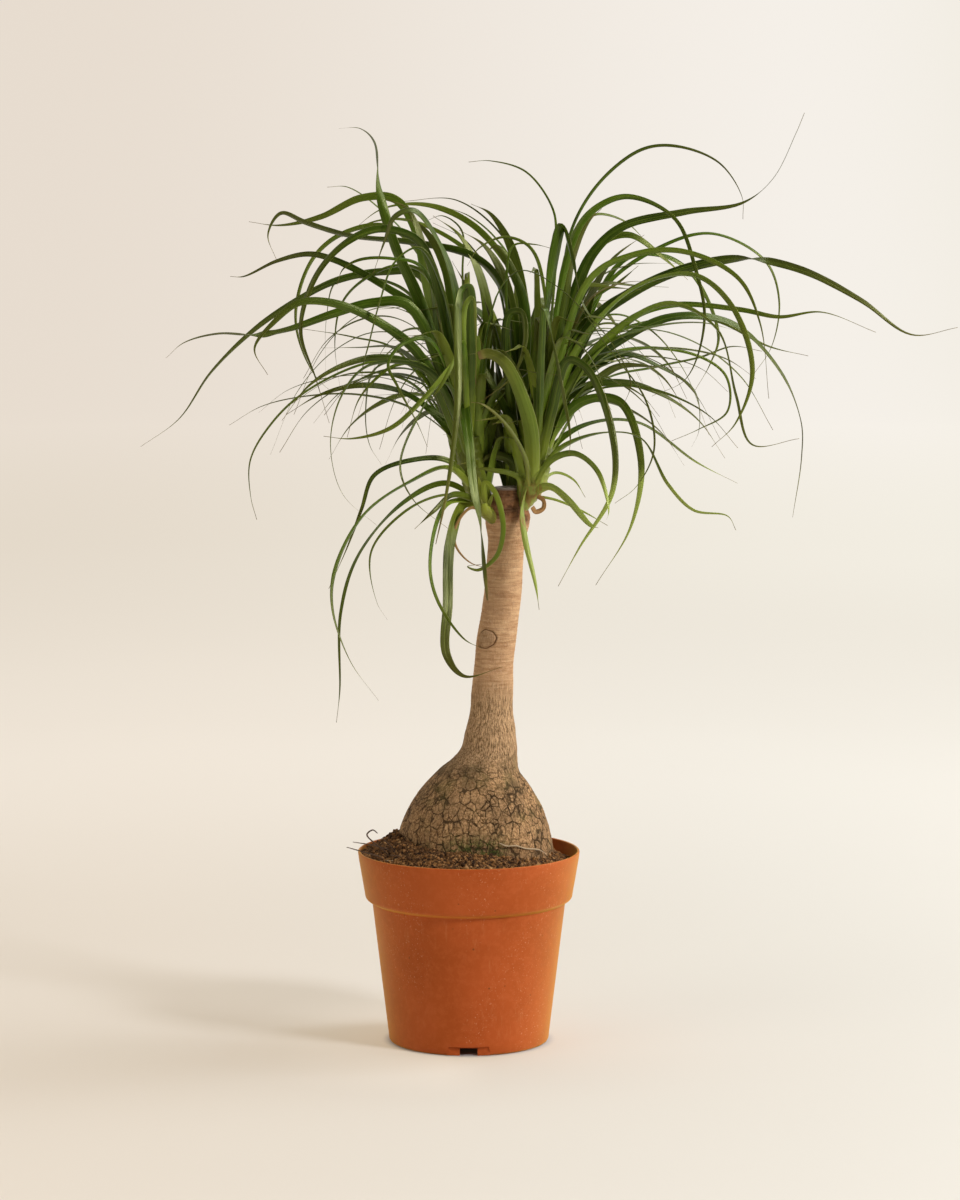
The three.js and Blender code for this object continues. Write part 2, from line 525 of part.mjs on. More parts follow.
// One head: its core, the leaves that show, the hidden ones and the inner ones, cut back clear of the trunk
function head(shoot, leaves, fill, inner, trunkRoom) {
  const axis = new THREE.CatmullRomCurve3(shoot.axis.map((point) => new THREE.Vector3(...point)));
  let whole = shootCore(shoot, axis);
  const sight = new THREE.Vector3(0, 1, 0);
  leaves.forEach((leaf, at) => {
    const draw = drawsFrom(1009 + 17 * at + leaves.length);
    const turn = THREE.MathUtils.degToRad(50 * draw() - 25);
    const lean = THREE.MathUtils.degToRad(leaf[3]) * (at % 2 === 0 ? 1 : -1);
    whole = whole.add(blade(shownRoute(axis, leaf), leaf[1], sight, lean, turn));
  });
  for (let at = 0; at < (fill ? fill.count : 0); at += 1) {
    const draw = drawsFrom(fill.seed + 101 * at);
    draw();
    const bearing = THREE.MathUtils.degToRad(fill.from + fill.spread * (at + 0.5 * draw()) / fill.count);
    const height = fill.low + (fill.high - fill.low) * draw();
    const reach = 90 + 110 * draw();
    const rise = 65 + 80 * height * draw() + 60 * height;
    const drop = 60 * draw() - 20;
    const width = 3.2 + 5.8 * draw();
    const turn = THREE.MathUtils.degToRad(140 * draw() - 70);
    const side = new THREE.Vector3(-Math.sin(bearing), Math.cos(bearing), 0);
    const route = hiddenRoute(axis, height, bearing, reach, rise, drop);
    whole = whole.add(blade(route, width, side, Math.PI / 2, turn));
  }
  for (let at = 0; at < (inner ? inner.count : 0); at += 1) {
    const draw = drawsFrom(inner.seed + 101 * at);
    draw();
    const bearing = THREE.MathUtils.degToRad(inner.from + inner.spread * (at + 0.5 * draw()) / inner.count);
    const height = 0.3 + 0.7 * draw();
    const reach = 25 + 70 * draw();
    const rise = 105 + 80 * draw();
    const width = 7 + 3 * draw();
    const turn = THREE.MathUtils.degToRad(80 * draw() - 40);
    const side = new THREE.Vector3(-Math.sin(bearing), Math.cos(bearing), 0);
    whole = whole.add(blade(uprightRoute(axis, height, bearing, reach, rise), width, side, Math.PI / 2, turn));
  }
  const bodies = whole.subtract(trunkRoom).decompose();
  return bodies.reduce((largest, body) => (body.volume() > largest.volume() ? body : largest));
}

function finish(color, roughness) {
  return new THREE.MeshStandardMaterial({ color, roughness, metalness: 0 });
}

// Assembly
const trunkRoom = trunkSkin(CLEARANCE).add(knot());
const leftHead = head(SHOOTS.left, LEFT_LEAVES, LEFT_FILL, LEFT_INNER, trunkRoom);
const backHead = head(SHOOTS.back, BACK_LEAVES, BACK_FILL, BACK_INNER, trunkRoom);
const rightHead = head(SHOOTS.right, RIGHT_LEAVES, RIGHT_FILL, RIGHT_INNER, trunkRoom);
const budShoot = head(SHOOTS.bud, BUD_LEAVES, null, null, trunkRoom);
const group = new THREE.Group();
group.add(
  pieceOf(pot(), 'pot', finish(0xb0552b, 0.55)),
  pieceOf(soil(trunkRoom), 'soil', finish(0x3f2a1c, 0.95)),
  pieceOf(trunkSkin(0).add(knot()), 'trunk', finish(0x9a7a58, 0.85)),
  pieceOf(leftHead, 'left_head', finish(0x53772c, 0.5)),
  pieceOf(backHead, 'back_head', finish(0x44682a, 0.5)),
  pieceOf(rightHead, 'right_head', finish(0x5d8233, 0.5)),
  pieceOf(budShoot, 'bud_shoot', finish(0x8a9a3e, 0.5)),
);

export default group;
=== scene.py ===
# Potted ponytail palm, dressed in the order that it is put together: pot, soil, trunk, the heads of leaves,
# the bits that lie on the soil, and last the plain room that it is seen in. Sizes are in millimetres, but
# in metres in the finishes and for the lamps.
import math

import bpy
import numpy as np
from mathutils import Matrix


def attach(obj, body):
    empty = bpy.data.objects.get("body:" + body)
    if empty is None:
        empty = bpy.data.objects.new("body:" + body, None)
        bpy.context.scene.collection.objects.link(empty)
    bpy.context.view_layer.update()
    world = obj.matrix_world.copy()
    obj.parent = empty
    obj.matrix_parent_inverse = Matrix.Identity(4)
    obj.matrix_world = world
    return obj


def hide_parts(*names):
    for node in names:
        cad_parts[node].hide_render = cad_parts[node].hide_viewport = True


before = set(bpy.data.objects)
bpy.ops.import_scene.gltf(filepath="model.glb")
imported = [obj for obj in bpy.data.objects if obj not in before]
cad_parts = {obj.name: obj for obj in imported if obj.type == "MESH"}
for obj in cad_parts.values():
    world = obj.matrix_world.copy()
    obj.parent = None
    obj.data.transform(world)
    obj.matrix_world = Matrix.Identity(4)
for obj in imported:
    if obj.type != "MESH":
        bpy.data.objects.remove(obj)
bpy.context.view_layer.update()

MM = 0.001

# Pot. One injection moulding in terracotta-coloured polypropylene: a tapered body, a step, and a deep rim
# band. Its floor stands on the ground, and three raised tunnels in it end in drain slots at the foot.
POT_HEIGHT = 165
RIM_RADIUS = 95
BAND_HEIGHT = 42.5
BAND_FOOT_RADIUS = 89
BODY_TOP_RADIUS = 82.7
BODY_FOOT_RADIUS = 68.7
POT_WALL = 1.8
POT_SIDES = 288
OUTLETS = 3
SLOT_HALF_WIDTH = 7.5
SLOT_HEIGHT = 6.5
PASSAGE_INNER = 27
TUNNEL_INNER = 25
CLEAR_OF_POT = 80
TUNNEL_HALF_WIDTH = 9.3
TUNNEL_HEIGHT = 8.3
FACET_HALF_WIDTH = 19
FACET_HEIGHT = 8
FACET_FACE = 66
SHARP_ANGLE = 32


def ring_quads(rings, sides, closed=False):
    """Quads of a grid of rings. Corner (ring, side) joins its neighbours, the last side wraps to the first,
    and the last ring wraps to the first where the grid is closed."""
    ring = np.arange(rings if closed else rings - 1)[:, None]
    side = np.arange(sides)[None, :]
    here, after = ring * sides, (ring + 1) % rings * sides
    beside = (side + 1) % sides
    corners = [here + side, here + beside, after + beside, after + side]
    return np.stack(corners, axis=-1).reshape(-1, 4)


def fan(centre, ring):
    """Triangles from a centre corner to each pair of neighbours on a ring of corners."""
    ring = np.asarray(ring)
    return np.stack([np.full(len(ring), centre), ring, np.roll(ring, -1)], axis=-1)


def around(sides):
    """The angles of evenly spaced points on a circle."""
    return np.arange(sides) * 2 * np.pi / sides


def polar(r, angle, z):
    """Points from a radius, an angle and a height: X is r cos, Y is r sin."""
    return np.stack([r * np.cos(angle), r * np.sin(angle), z + 0 * angle], axis=-1)


def capped(rings, ends):
    """Corners and faces of a closed body: a grid of rings, with a fan round an end point at both ends."""
    rows, sides, _ = rings.shape
    count = rows * sides
    foot, top = np.arange(sides), np.arange(count - sides, count)
    faces = [ring_quads(rows, sides), fan(count, foot[::-1]), fan(count + 1, top)]
    return np.concatenate([rings.reshape(-1, 3), ends]), faces


def make_piece(name, points, faces, finish, smooth=True):
    """A mesh object at the origin from corner points in millimetres and a list of face arrays."""
    mesh = bpy.data.meshes.new(name)
    corners = np.concatenate([part.ravel() for part in faces]).astype(np.int32)
    sizes = np.concatenate([np.full(len(part), part.shape[1]) for part in faces])
    mesh.vertices.add(len(points))
    mesh.vertices.foreach_set("co", (np.asarray(points) * MM).astype(np.float32).ravel())
    mesh.loops.add(len(corners))
    mesh.loops.foreach_set("vertex_index", corners)
    mesh.polygons.add(len(sizes))
    mesh.polygons.foreach_set("loop_start", (np.cumsum(sizes) - sizes).astype(np.int32))
    mesh.polygons.foreach_set("use_smooth", np.full(len(sizes), smooth))
    mesh.update(calc_edges=True)
    mesh.validate()
    mesh.materials.append(finish)
    piece = bpy.data.objects.new(name, mesh)
    bpy.context.scene.collection.objects.link(piece)
    return piece


def add_attribute(piece, name, values):
    """A four-channel value for every corner point, for the piece's material to read."""
    layer = piece.data.attributes.new(name, "FLOAT_COLOR", "POINT")
    layer.data.foreach_set("color", np.asarray(values, dtype=np.float32).ravel())


def belongs(piece, slot, *nodes):
    """The piece stands still with the pot and stands for the nodes. The slot is not used."""
    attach(piece, "root")
    if nodes:
        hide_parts(*nodes)


class Value:
    """A shader socket that Python's operators work on: each operator adds the Math node it stands for."""

    def __init__(self, paint, socket):
        self.paint = paint
        self.socket = socket

    def maths(self, operation, *numbers):
        inputs = dict(enumerate(numbers))
        return self.paint.add("ShaderNodeMath", {"operation": operation}, inputs)

    def __add__(self, other):
        return self.maths("ADD", self, other)

    def __radd__(self, other):
        return self.maths("ADD", other, self)

    def __sub__(self, other):
        return self.maths("SUBTRACT", self, other)

    def __rsub__(self, other):
        return self.maths("SUBTRACT", other, self)

    def __mul__(self, other):
        return self.maths("MULTIPLY", self, other)

    def __rmul__(self, other):
        return self.maths("MULTIPLY", other, self)

    def __truediv__(self, other):
        return self.maths("DIVIDE", self, other)


class Paint:
    """One finish: a Principled shader and the nodes that feed it."""

    def __init__(self, name, **fixed):
        self.material = bpy.data.materials.new(name)
        self.material.use_nodes = True
        self.tree = self.material.node_tree
        self.shader = self.tree.nodes["Principled BSDF"]
        for socket, value in fixed.items():
            self.shader.inputs[socket.replace("_", " ")].default_value = value

    def add(self, kind, settings=None, inputs=None, out=0):
        """Any node: its type, its settings, and its sockets' values or links. Gives back one output."""
        node = self.tree.nodes.new(kind)
        for key, value in (settings or {}).items():
            if key == "stops":
                ramp = node.color_ramp.elements
                while len(ramp) < len(value):
                    ramp.new(0.5)
                for stop, (place, tone) in zip(ramp, value):
                    stop.position = place
                    stop.color = (*tone, 1)
            else:
                setattr(node, key, value)
        for key, value in (inputs or {}).items():
            self.link(value, node.inputs[key])
        return Value(self, node.outputs[out])

    def link(self, value, socket):
        """A value or another node's output goes into a socket."""
        if isinstance(value, Value):
            self.tree.links.new(value.socket, socket)
        elif isinstance(value, tuple) and len(value) == 3 and socket.type == "RGBA":
            socket.default_value = (*value, 1)
        else:
            socket.default_value = value

    def place(self):
        """Object coordinates, in metres."""
        return self.add("ShaderNodeTexCoord", out="Object")

    def noise(self, vector, scale, detail=3, rough=0.55, warp=0):
        """Cloudy noise from 0 to 1, with scale in features a metre, the same or one for each direction."""
        if isinstance(scale, tuple):
            vector, scale = self.stretch(vector, scale), 1
        sockets = {"Vector": vector, "Scale": scale, "Detail": detail, "Roughness": rough, "Distortion": warp}
        return self.add("ShaderNodeTexNoise", None, sockets)

    def cells(self, vector, scale, feature, out=0):
        """A pattern of cells, with scale in cells a metre: distances, or a colour for each cell."""
        return self.add("ShaderNodeTexVoronoi", {"feature": feature}, {"Vector": vector, "Scale": scale}, out)

    def axes(self, vector):
        """The three coordinates of a place or a vector, each as a value."""
        node = self.add("ShaderNodeSeparateXYZ", None, {0: vector}).socket.node
        return (Value(self, node.outputs[axis]) for axis in range(3))

    def stretch(self, vector, scale):
        """Coordinates stretched by three factors."""
        return self.add("ShaderNodeVectorMath", {"operation": "MULTIPLY"}, {0: vector, 1: scale})

    def bend(self, vector, scale, reach):
        """Coordinates pushed about by coloured noise, by the reach at most each way."""
        sockets = {"Vector": vector, "Scale": scale, "Detail": 2}
        push = self.add("ShaderNodeTexNoise", None, sockets, out="Color")
        push = self.add("ShaderNodeVectorMath", {"operation": "SUBTRACT"}, {0: push, 1: (0.5, 0.5, 0.5)})
        push = self.stretch(push, (2 * reach,) * 3)
        return self.add("ShaderNodeVectorMath", {"operation": "ADD"}, {0: vector, 1: push})

    def ramp(self, value, low, high):
        """Goes smoothly from 0 at low to 1 at high."""
        ends = {"Value": value, "From Min": low, "From Max": high}
        return self.add("ShaderNodeMapRange", {"interpolation_type": "SMOOTHSTEP"}, ends)

    def tones(self, value, *stops):
        """A colour from a ramp of (place, colour) stops."""
        return self.add("ShaderNodeValToRGB", {"stops": stops}, {"Fac": value})

    def mix(self, factor, first, second):
        """A colour that goes from the first to the second as the factor goes from 0 to 1."""
        return self.add("ShaderNodeMix", {"data_type": "RGBA"}, {0: factor, 6: first, 7: second}, out=2)

    def coats(self, colour, *coats):
        """Coats over a colour, each as how much of it shows, from 0 to 1, and its own colour."""
        for amount, tone in coats:
            colour = self.mix(amount, colour, tone)
        return colour

    def attribute(self, name):
        """The red, green and blue channels and the alpha of a piece's attribute."""
        whole = self.add("ShaderNodeAttribute", {"attribute_name": name}, None, out="Color")
        parts = self.add("ShaderNodeSeparateColor", None, {0: whole}).socket.node
        alpha = Value(self, whole.socket.node.outputs["Alpha"])
        return *(Value(self, parts.outputs[channel]) for channel in range(3)), alpha

    def relief(self, *layers):
        """Layers of relief one on another, each as a height from 0 to 1, a distance in metres, a strength."""
        sockets = {}
        for height, distance, strength in layers:
            sockets.update({"Height": height, "Distance": distance, "Strength": strength})
            sockets["Normal"] = self.add("ShaderNodeBump", None, sockets)
        return sockets["Normal"]

    def finish(self, **sockets):
        """Links the values that vary over the surface to the shader, and gives the material."""
        for socket, value in sockets.items():
            self.link(value, self.shader.inputs[socket.replace("_", " ")])
        return self.material


def pot_finish():
    """Semi-matt moulded plastic: cloudy orange, a faint orange-peel skin, dust, specks and upright scuffs."""
    paint = Paint("pot_plastic_finish", Specular_IOR_Level=0.22, Specular_Tint=(1.0, 0.72, 0.30, 1),
                  Sheen_Weight=0.56, Sheen_Roughness=0.48, Sheen_Tint=(0.95, 0.64, 0.05, 1))
    here = paint.place()
    cloud = paint.noise(here, 14, detail=4, warp=0.4)
    mottle = paint.noise(here, 160, detail=5, rough=0.7)
    scuffs = paint.noise(here, (260, 260, 22), detail=4, rough=0.75)
    scuff = paint.ramp(scuffs, 0.55, 0.72) * paint.ramp(paint.noise(here, 17), 0.42, 0.62)
    grimy = paint.ramp(paint.noise(here, (24, 24, 11), detail=4), 0.46, 0.62)
    dust = paint.ramp(paint.noise(here, 620, rough=0.7), 0.60, 0.70) * grimy
    thin_out = paint.ramp(paint.noise(here, 31, detail=2), 0.52, 0.60)
    speck = (1 - paint.ramp(paint.cells(here, 95, "F1"), 0.05, 0.11)) * thin_out
    clay = paint.coats(
        paint.mix(paint.ramp(cloud, 0.3, 0.7), (0.350, 0.058, 0.013), (0.43, 0.077, 0.020)),
        (paint.ramp(mottle, 0.42, 0.68) * 0.35, (0.52, 0.115, 0.036)),
        (scuff * 0.22, (0.60, 0.24, 0.10)),
        (dust * 0.65, (0.68, 0.36, 0.19)),
        (speck * 0.75, (0.10, 0.035, 0.012)),
    )
    rough = 0.40 + 0.16 * mottle + 0.14 * scuff + 0.2 * dust
    relief = paint.relief((paint.noise(here, 1500, detail=2), 0.00006, 0.5), (scuff, 0.00004, 0.6))
    return paint.finish(Base_Color=clay, Roughness=rough, Normal=relief)


def arc(centre_r, centre_z, radius, start, end, steps=6):
    """Points of a round corner in the profile, between two angles in degrees."""
    angles = np.radians(np.linspace(start, end, steps))
    return np.stack([centre_r + radius * np.cos(angles), centre_z + radius * np.sin(angles)], axis=-1)


def straight(first, last, steps):
    """Evenly spaced profile points between two, without the ends."""
    shares = np.linspace(0, 1, steps + 2)[1:-1, None]
    return np.asarray(first) * (1 - shares) + np.asarray(last) * shares


def pot_profile():
    """The wall's outline, from the middle of the underside, up the outside, over the lip and down inside."""
    step = POT_HEIGHT - BAND_HEIGHT
    foot = arc(BODY_FOOT_RADIUS - 3, 3, 3, -90, -6)
    waist = np.array([[BODY_TOP_RADIUS - 0.1, step - 3.2], [BODY_TOP_RADIUS + 0.05, step - 1.8]])
    ledge = arc(BAND_FOOT_RADIUS - 4.6, step + 4.6, 4.6, -80, -2, 8)
    lip = arc(RIM_RADIUS - 1.2, POT_HEIGHT - 1.1, 1.1, 0, 180, 9)
    inner_ledge = arc(BAND_FOOT_RADIUS - 4.6, step + 5.2, 3.0, 0, -84)
    inside = [
        [RIM_RADIUS - POT_WALL - 0.4, POT_HEIGHT - 2.5],
        *straight((RIM_RADIUS - POT_WALL - 0.5, POT_HEIGHT - 3), (BAND_FOOT_RADIUS - POT_WALL, step + 6), 8),
        *inner_ledge,
        [BODY_TOP_RADIUS - POT_WALL, step - 1],
        *straight((BODY_TOP_RADIUS - POT_WALL, step - 2), (BODY_FOOT_RADIUS - POT_WALL, 4), 12),
        [BODY_FOOT_RADIUS - POT_WALL - 0.6, 2.4],
        [BODY_FOOT_RADIUS - POT_WALL - 2.2, POT_WALL],
    ]
    outside = [
        *straight((2, 0), (BODY_FOOT_RADIUS - 3, 0), 6),
        *foot,
        *straight((BODY_FOOT_RADIUS, 3.5), (BODY_TOP_RADIUS - 0.15, step - 4), 28),
        *waist,
        *ledge,
        *straight((BAND_FOOT_RADIUS + 0.05, step + 5), (RIM_RADIUS - 0.2, POT_HEIGHT - 3.6), 12),
        *lip,
    ]
    return np.array([*outside, *inside])


def turned(profile, sides):
    """A profile of radius and height turned round the upright axis, as a closed body of rings."""
    r, z = profile[:, :1], profile[:, 1:]
    return capped(polar(r, around(sides), z), [[0, 0, z[0, 0]], [0, 0, z[-1, 0]]])


def block(half_foot, half_top, foot, top):
    """The outline of a block in X and Z, which may be narrower at its top."""
    return [(-half_foot, foot), (half_foot, foot), (half_top, top), (-half_top, top)]


def prisms(outline, low, high, count):
    """Upright-sided prisms: an outline in X and Z pushed along Y from low to high, repeated round the pot."""
    outline = np.asarray(outline, float)
    corners = len(outline)
    points, faces = [], []
    for number in range(count):
        turn = 2 * math.pi * number / count
        straight_on = np.array([[x, y, z] for y in (low, high) for x, z in outline])
        cos, sin = math.cos(turn), math.sin(turn)
        spun = straight_on @ np.array([[cos, sin, 0], [-sin, cos, 0], [0, 0, 1]])
        first = number * 2 * corners
        near = first + np.arange(corners)
        for side in range(corners):
            after = (side + 1) % corners
            faces.append([near[side], near[after], near[after] + corners, near[side] + corners])
        faces.append(near[::-1].tolist())
        faces.append((near + corners).tolist())
        points.append(spun)
    return np.concatenate(points), [np.array(face)[None, ::-1] for face in faces]


def cut_or_join(piece, tool, operation):
    """A solid is joined to or cut from the piece, and the result becomes the piece's own mesh."""
    change = piece.modifiers.new(operation.lower(), "BOOLEAN")
    change.operation = operation
    change.object = tool
    change.solver = "EXACT"
    ready = piece.evaluated_get(bpy.context.evaluated_depsgraph_get())
    result = bpy.data.meshes.new_from_object(ready)
    piece.modifiers.clear()
    piece.data = result
    bpy.data.objects.remove(tool)


POT_FINISH = pot_finish()
pot = make_piece("nursery_pot", *turned(pot_profile(), POT_SIDES), POT_FINISH)
roof = [(TUNNEL_HALF_WIDTH, TUNNEL_HEIGHT - 1), (TUNNEL_HALF_WIDTH - 1, TUNNEL_HEIGHT)]
tunnel = [(-TUNNEL_HALF_WIDTH, 0.5), (TUNNEL_HALF_WIDTH, 0.5), *roof, *((-x, z) for x, z in roof[::-1])]
backing = block(FACET_HALF_WIDTH - 1, FACET_HALF_WIDTH - 1, 0.5, FACET_HEIGHT + POT_WALL)
passage = block(SLOT_HALF_WIDTH, SLOT_HALF_WIDTH, -1, SLOT_HEIGHT)
facet = block(FACET_HALF_WIDTH, FACET_HALF_WIDTH - 2, -1, FACET_HEIGHT)
joins = [(tunnel, -FACET_FACE, -TUNNEL_INNER), (backing, -FACET_FACE - 0.4, -FACET_FACE + POT_WALL)]
cuts = [(passage, -CLEAR_OF_POT, -PASSAGE_INNER), (facet, -CLEAR_OF_POT, -FACET_FACE)]
for shapes, operation in ((joins, "UNION"), (cuts, "DIFFERENCE")):
    for outline, low, high in shapes:
        cut_or_join(pot, make_piece("tool", *prisms(outline, low, high, OUTLETS), POT_FINISH), operation)
pot.data.shade_smooth()
pot.data.set_sharp_from_angle(angle=math.radians(SHARP_ANGLE))
belongs(pot, "pot_plastic", "pot")

# Soil. Dark peat and bark crumbs that fill the pot, level with the rim at the left and lower at the right.
# A bumpy skin with loose crumbs lying in it, and a round hole where the palm's foot stands.
SOIL_EDGE = 158.5
SOIL_FALL = 5
SOIL_MOUND = 13.5
SOIL_TILT = 0.05
SOIL_HOLE = 46
SOIL_GAP = 0.4
SOIL_SIDES = 300
SOIL_ROWS = 110
# Radius and height of the rings from the pot's step down to the floor and up in the hole
SOIL_UNDERSIDE = [(86.6, 129), (82, 125.4), (80.4, 121), (66, 11.6), (61.5, 8.8), (30, 8.8), (30, 100)]


def fade(low, high, value):
    """Goes from 0 at low to 1 at high along the curve 3t squared less 2t cubed."""
    share = np.clip((value - low) / (high - low), 0, 1)
    return share * share * (3 - 2 * share)


def hashed(cell, seed):
    """A number from 0 to 1 for each whole-number cell: its three coordinates and the seed are multiplied by
    large odd numbers and joined by exclusive or, mixed by three shifts with products in between, and the
    lowest 24 bits are kept."""
    mixed = cell[..., 0] * 73856093 ^ cell[..., 1] * 19349663 ^ cell[..., 2] * 83492791 ^ seed * 2654435761
    mixed = (mixed ^ (mixed >> 13)) & 0xFFFFFFFF
    mixed = (mixed * 1274126177) & 0xFFFFFFFF
    mixed = (mixed ^ (mixed >> 15)) & 0xFFFFFFFF
    mixed = (mixed * 2246822519) & 0xFFFFFFFF
    return ((mixed ^ (mixed >> 14)) & 0xFFFFFF) / 0xFFFFFF


def clouds(points, size, seed, octaves=1):
    """Smooth noise from -1 to 1. The eight hashed corners of the cell round a point are blended by the fade
    curve, and each octave halves the size and the height."""
    total, height = 0, 0
    for octave in range(octaves):
        scaled = points / size * 2 ** octave
        cell = np.floor(scaled).astype(np.int64)
        share = scaled - cell
        share = share * share * (3 - 2 * share)
        value = 0
        for corner in np.ndindex(2, 2, 2):
            weight = np.prod(np.where(corner, share, 1 - share), axis=-1)
            value = value + weight * hashed(cell + np.array(corner), seed + octave)
        total = total + (2 * value - 1) * 0.5 ** octave
        height += 0.5 ** octave
    return total / height


def soil_top(x, y):
    """Height of the soil: a rim that falls to the right, a bank up to the foot and lumps of peat."""
    r = np.hypot(x, y)
    edge = SOIL_EDGE - SOIL_FALL * x / RIM_RADIUS
    mound = (SOIL_MOUND - SOIL_TILT * x) * (1 - fade(60, 90, r))
    bumps = 1.2 * np.sin(x / 7 + 1) * np.sin(y / 6.2) + 0.7 * np.sin((x + y) / 4.1)
    place = np.stack([x, y, 0 * x], axis=-1)
    lumps = 1.5 * clouds(place, 9, seed=3, octaves=2) + 1.1 * clouds(place, 3.2, seed=7, octaves=2)
    return edge + mound + (bumps * 0.6 + lumps) * (1 - 0.7 * fade(84, 92, r))


def wall_inside(z):
    """Radius of the pot's inner wall in the rim band."""
    slope = (RIM_RADIUS - BAND_FOOT_RADIUS) / BAND_HEIGHT
    return BAND_FOOT_RADIUS - POT_WALL + slope * (z - POT_HEIGHT + BAND_HEIGHT - 4)


def soil_body():
    """Rings from the hole out over the top, down the wall, in under the plug and up inside the hole."""
    angles = around(SOIL_SIDES)
    cos, sin = np.cos(angles), np.sin(angles)
    reach = wall_inside(SOIL_EDGE - SOIL_FALL * cos) - SOIL_GAP
    share = np.linspace(0, 1, SOIL_ROWS)[:, None]
    r = SOIL_HOLE + (reach - SOIL_HOLE) * share
    top = np.stack([r * cos, r * sin, soil_top(r * cos, r * sin)], axis=-1)
    under = [polar(radius, angles, height) for radius, height in SOIL_UNDERSIDE]
    return np.concatenate([top, under]).reshape(-1, 3)


def soil_finish():
    """Peat: near black to red-brown crumbs, a little paler where the top has dried."""
    paint = Paint("peat_finish", Roughness=0.92, Specular_IOR_Level=0.18)
    here = paint.place()
    crumb = paint.cells(here, 520, "F1", out="Color")
    shade = paint.add("ShaderNodeSeparateColor", None, {0: crumb}, out=0)
    grain = paint.noise(here, 420, detail=5, rough=0.7)
    peat = paint.tones(shade, (0.0, (0.032, 0.014, 0.005)), (0.45, (0.150, 0.070, 0.022)),
                       (0.80, (0.285, 0.135, 0.043)), (1.0, (0.43, 0.235, 0.095)))
    peat = paint.mix(paint.ramp(grain, 0.38, 0.58), (0.014, 0.007, 0.004), peat)
    return paint.finish(Base_Color=peat, Normal=paint.relief((grain, 0.0006, 0.9)))


SOIL_FINISH = soil_finish()
soil_faces = ring_quads(SOIL_ROWS + len(SOIL_UNDERSIDE), SOIL_SIDES, closed=True)[:, ::-1]
soil = make_piece("soil_plug", soil_body(), [soil_faces], SOIL_FINISH)
belongs(soil, "peat_soil", "soil")


# Crumbs. Bits of peat, bark and root that lie loose on the soil, where they fell when the pot was filled.
# Each is a rough twenty-sided lump, partly sunk in the soil.
CRUMBS = 5200
CRUMB_SEED = 5
CRUMBS_FROM, CRUMBS_TO = 54, 91
CRUMB_CORNERS = 12


def lump_shape():
    """Corners and faces of an icosahedron of radius 1, from the golden ratio."""
    g = (1 + 5 ** 0.5) / 2
    corners = np.array([(-1, g, 0), (1, g, 0), (-1, -g, 0), (1, -g, 0), (0, -1, g), (0, 1, g),
                        (0, -1, -g), (0, 1, -g), (g, 0, -1), (g, 0, 1), (-g, 0, -1), (-g, 0, 1)], float)
    faces = np.array([(0, 11, 5), (0, 5, 1), (0, 1, 7), (0, 7, 10), (0, 10, 11), (1, 5, 9), (5, 11, 4),
                      (11, 10, 2), (10, 7, 6), (7, 1, 8), (3, 9, 4), (3, 4, 2), (3, 2, 6), (3, 6, 8),
                      (3, 8, 9), (4, 9, 5), (2, 4, 11), (6, 2, 10), (8, 6, 7), (9, 8, 1)])
    return corners / np.linalg.norm(corners[0]), faces


def crumbs_body(chance):
    """Every crumb is the lump pulled out of round by random corners, stretched, turned and set in soil."""
    corners, faces = lump_shape()
    angle = chance.uniform(0, 2 * np.pi, CRUMBS)
    r = np.sqrt(chance.uniform(CRUMBS_FROM ** 2, CRUMBS_TO ** 2, CRUMBS))
    size = 0.45 + 1.5 * chance.uniform(0, 1, CRUMBS) ** 3
    x, y = r * np.cos(angle), r * np.sin(angle)
    inside = r < wall_inside(SOIL_EDGE - SOIL_FALL * x / r) - size - 0.6
    x, y, size = x[inside], y[inside], size[inside]
    count = len(x)
    rough = corners[None] * chance.uniform(0.65, 1.25, (count, CRUMB_CORNERS, 1))
    rough = rough * chance.uniform(0.6, 1.3, (count, 1, 3)) * size[:, None, None]
    turn, tip = chance.uniform(0, 2 * np.pi, count), chance.uniform(-0.9, 0.9, count)
    for angles, first, second in ((tip, 1, 2), (turn, 0, 1)):
        cos, sin = np.cos(angles)[:, None], np.sin(angles)[:, None]
        one, other = rough[..., first].copy(), rough[..., second].copy()
        rough[..., first] = cos * one - sin * other
        rough[..., second] = sin * one + cos * other
    seat = np.stack([x, y, soil_top(x, y) + 0.25 * size], axis=-1)
    points = (rough + seat[:, None]).reshape(-1, 3)
    all_faces = (faces[None] + CRUMB_CORNERS * np.arange(count)[:, None, None]).reshape(-1, 3)
    tone = np.repeat(chance.uniform(0, 1, (count, 4)), CRUMB_CORNERS, axis=0)
    return points, all_faces, tone


def crumb_finish():
    """Each crumb has its own brown, from wet peat to dry bark, and a few are nearly straw."""
    paint = Paint("crumb_finish", Roughness=0.9, Specular_IOR_Level=0.2)
    tone, second, _, _ = paint.attribute("crumb")
    grain = paint.noise(paint.place(), 900)
    peat = paint.tones(tone, (0.0, (0.030, 0.014, 0.005)), (0.5, (0.140, 0.066, 0.022)),
                       (0.82, (0.27, 0.128, 0.040)), (0.97, (0.42, 0.235, 0.095)))
    peat = paint.mix(paint.ramp(grain, 0.35, 0.7) * second * 0.6, peat, (0.20, 0.095, 0.045))
    return paint.finish(Base_Color=peat, Normal=paint.relief((grain, 0.0003, 0.8)))


crumb_points, crumb_faces, crumb_tones = crumbs_body(np.random.default_rng(CRUMB_SEED))
crumbs = make_piece("peat_crumbs", crumb_points, [crumb_faces], crumb_finish(), smooth=False)
add_attribute(crumbs, "crumb", crumb_tones)
belongs(crumbs, "peat_soil")


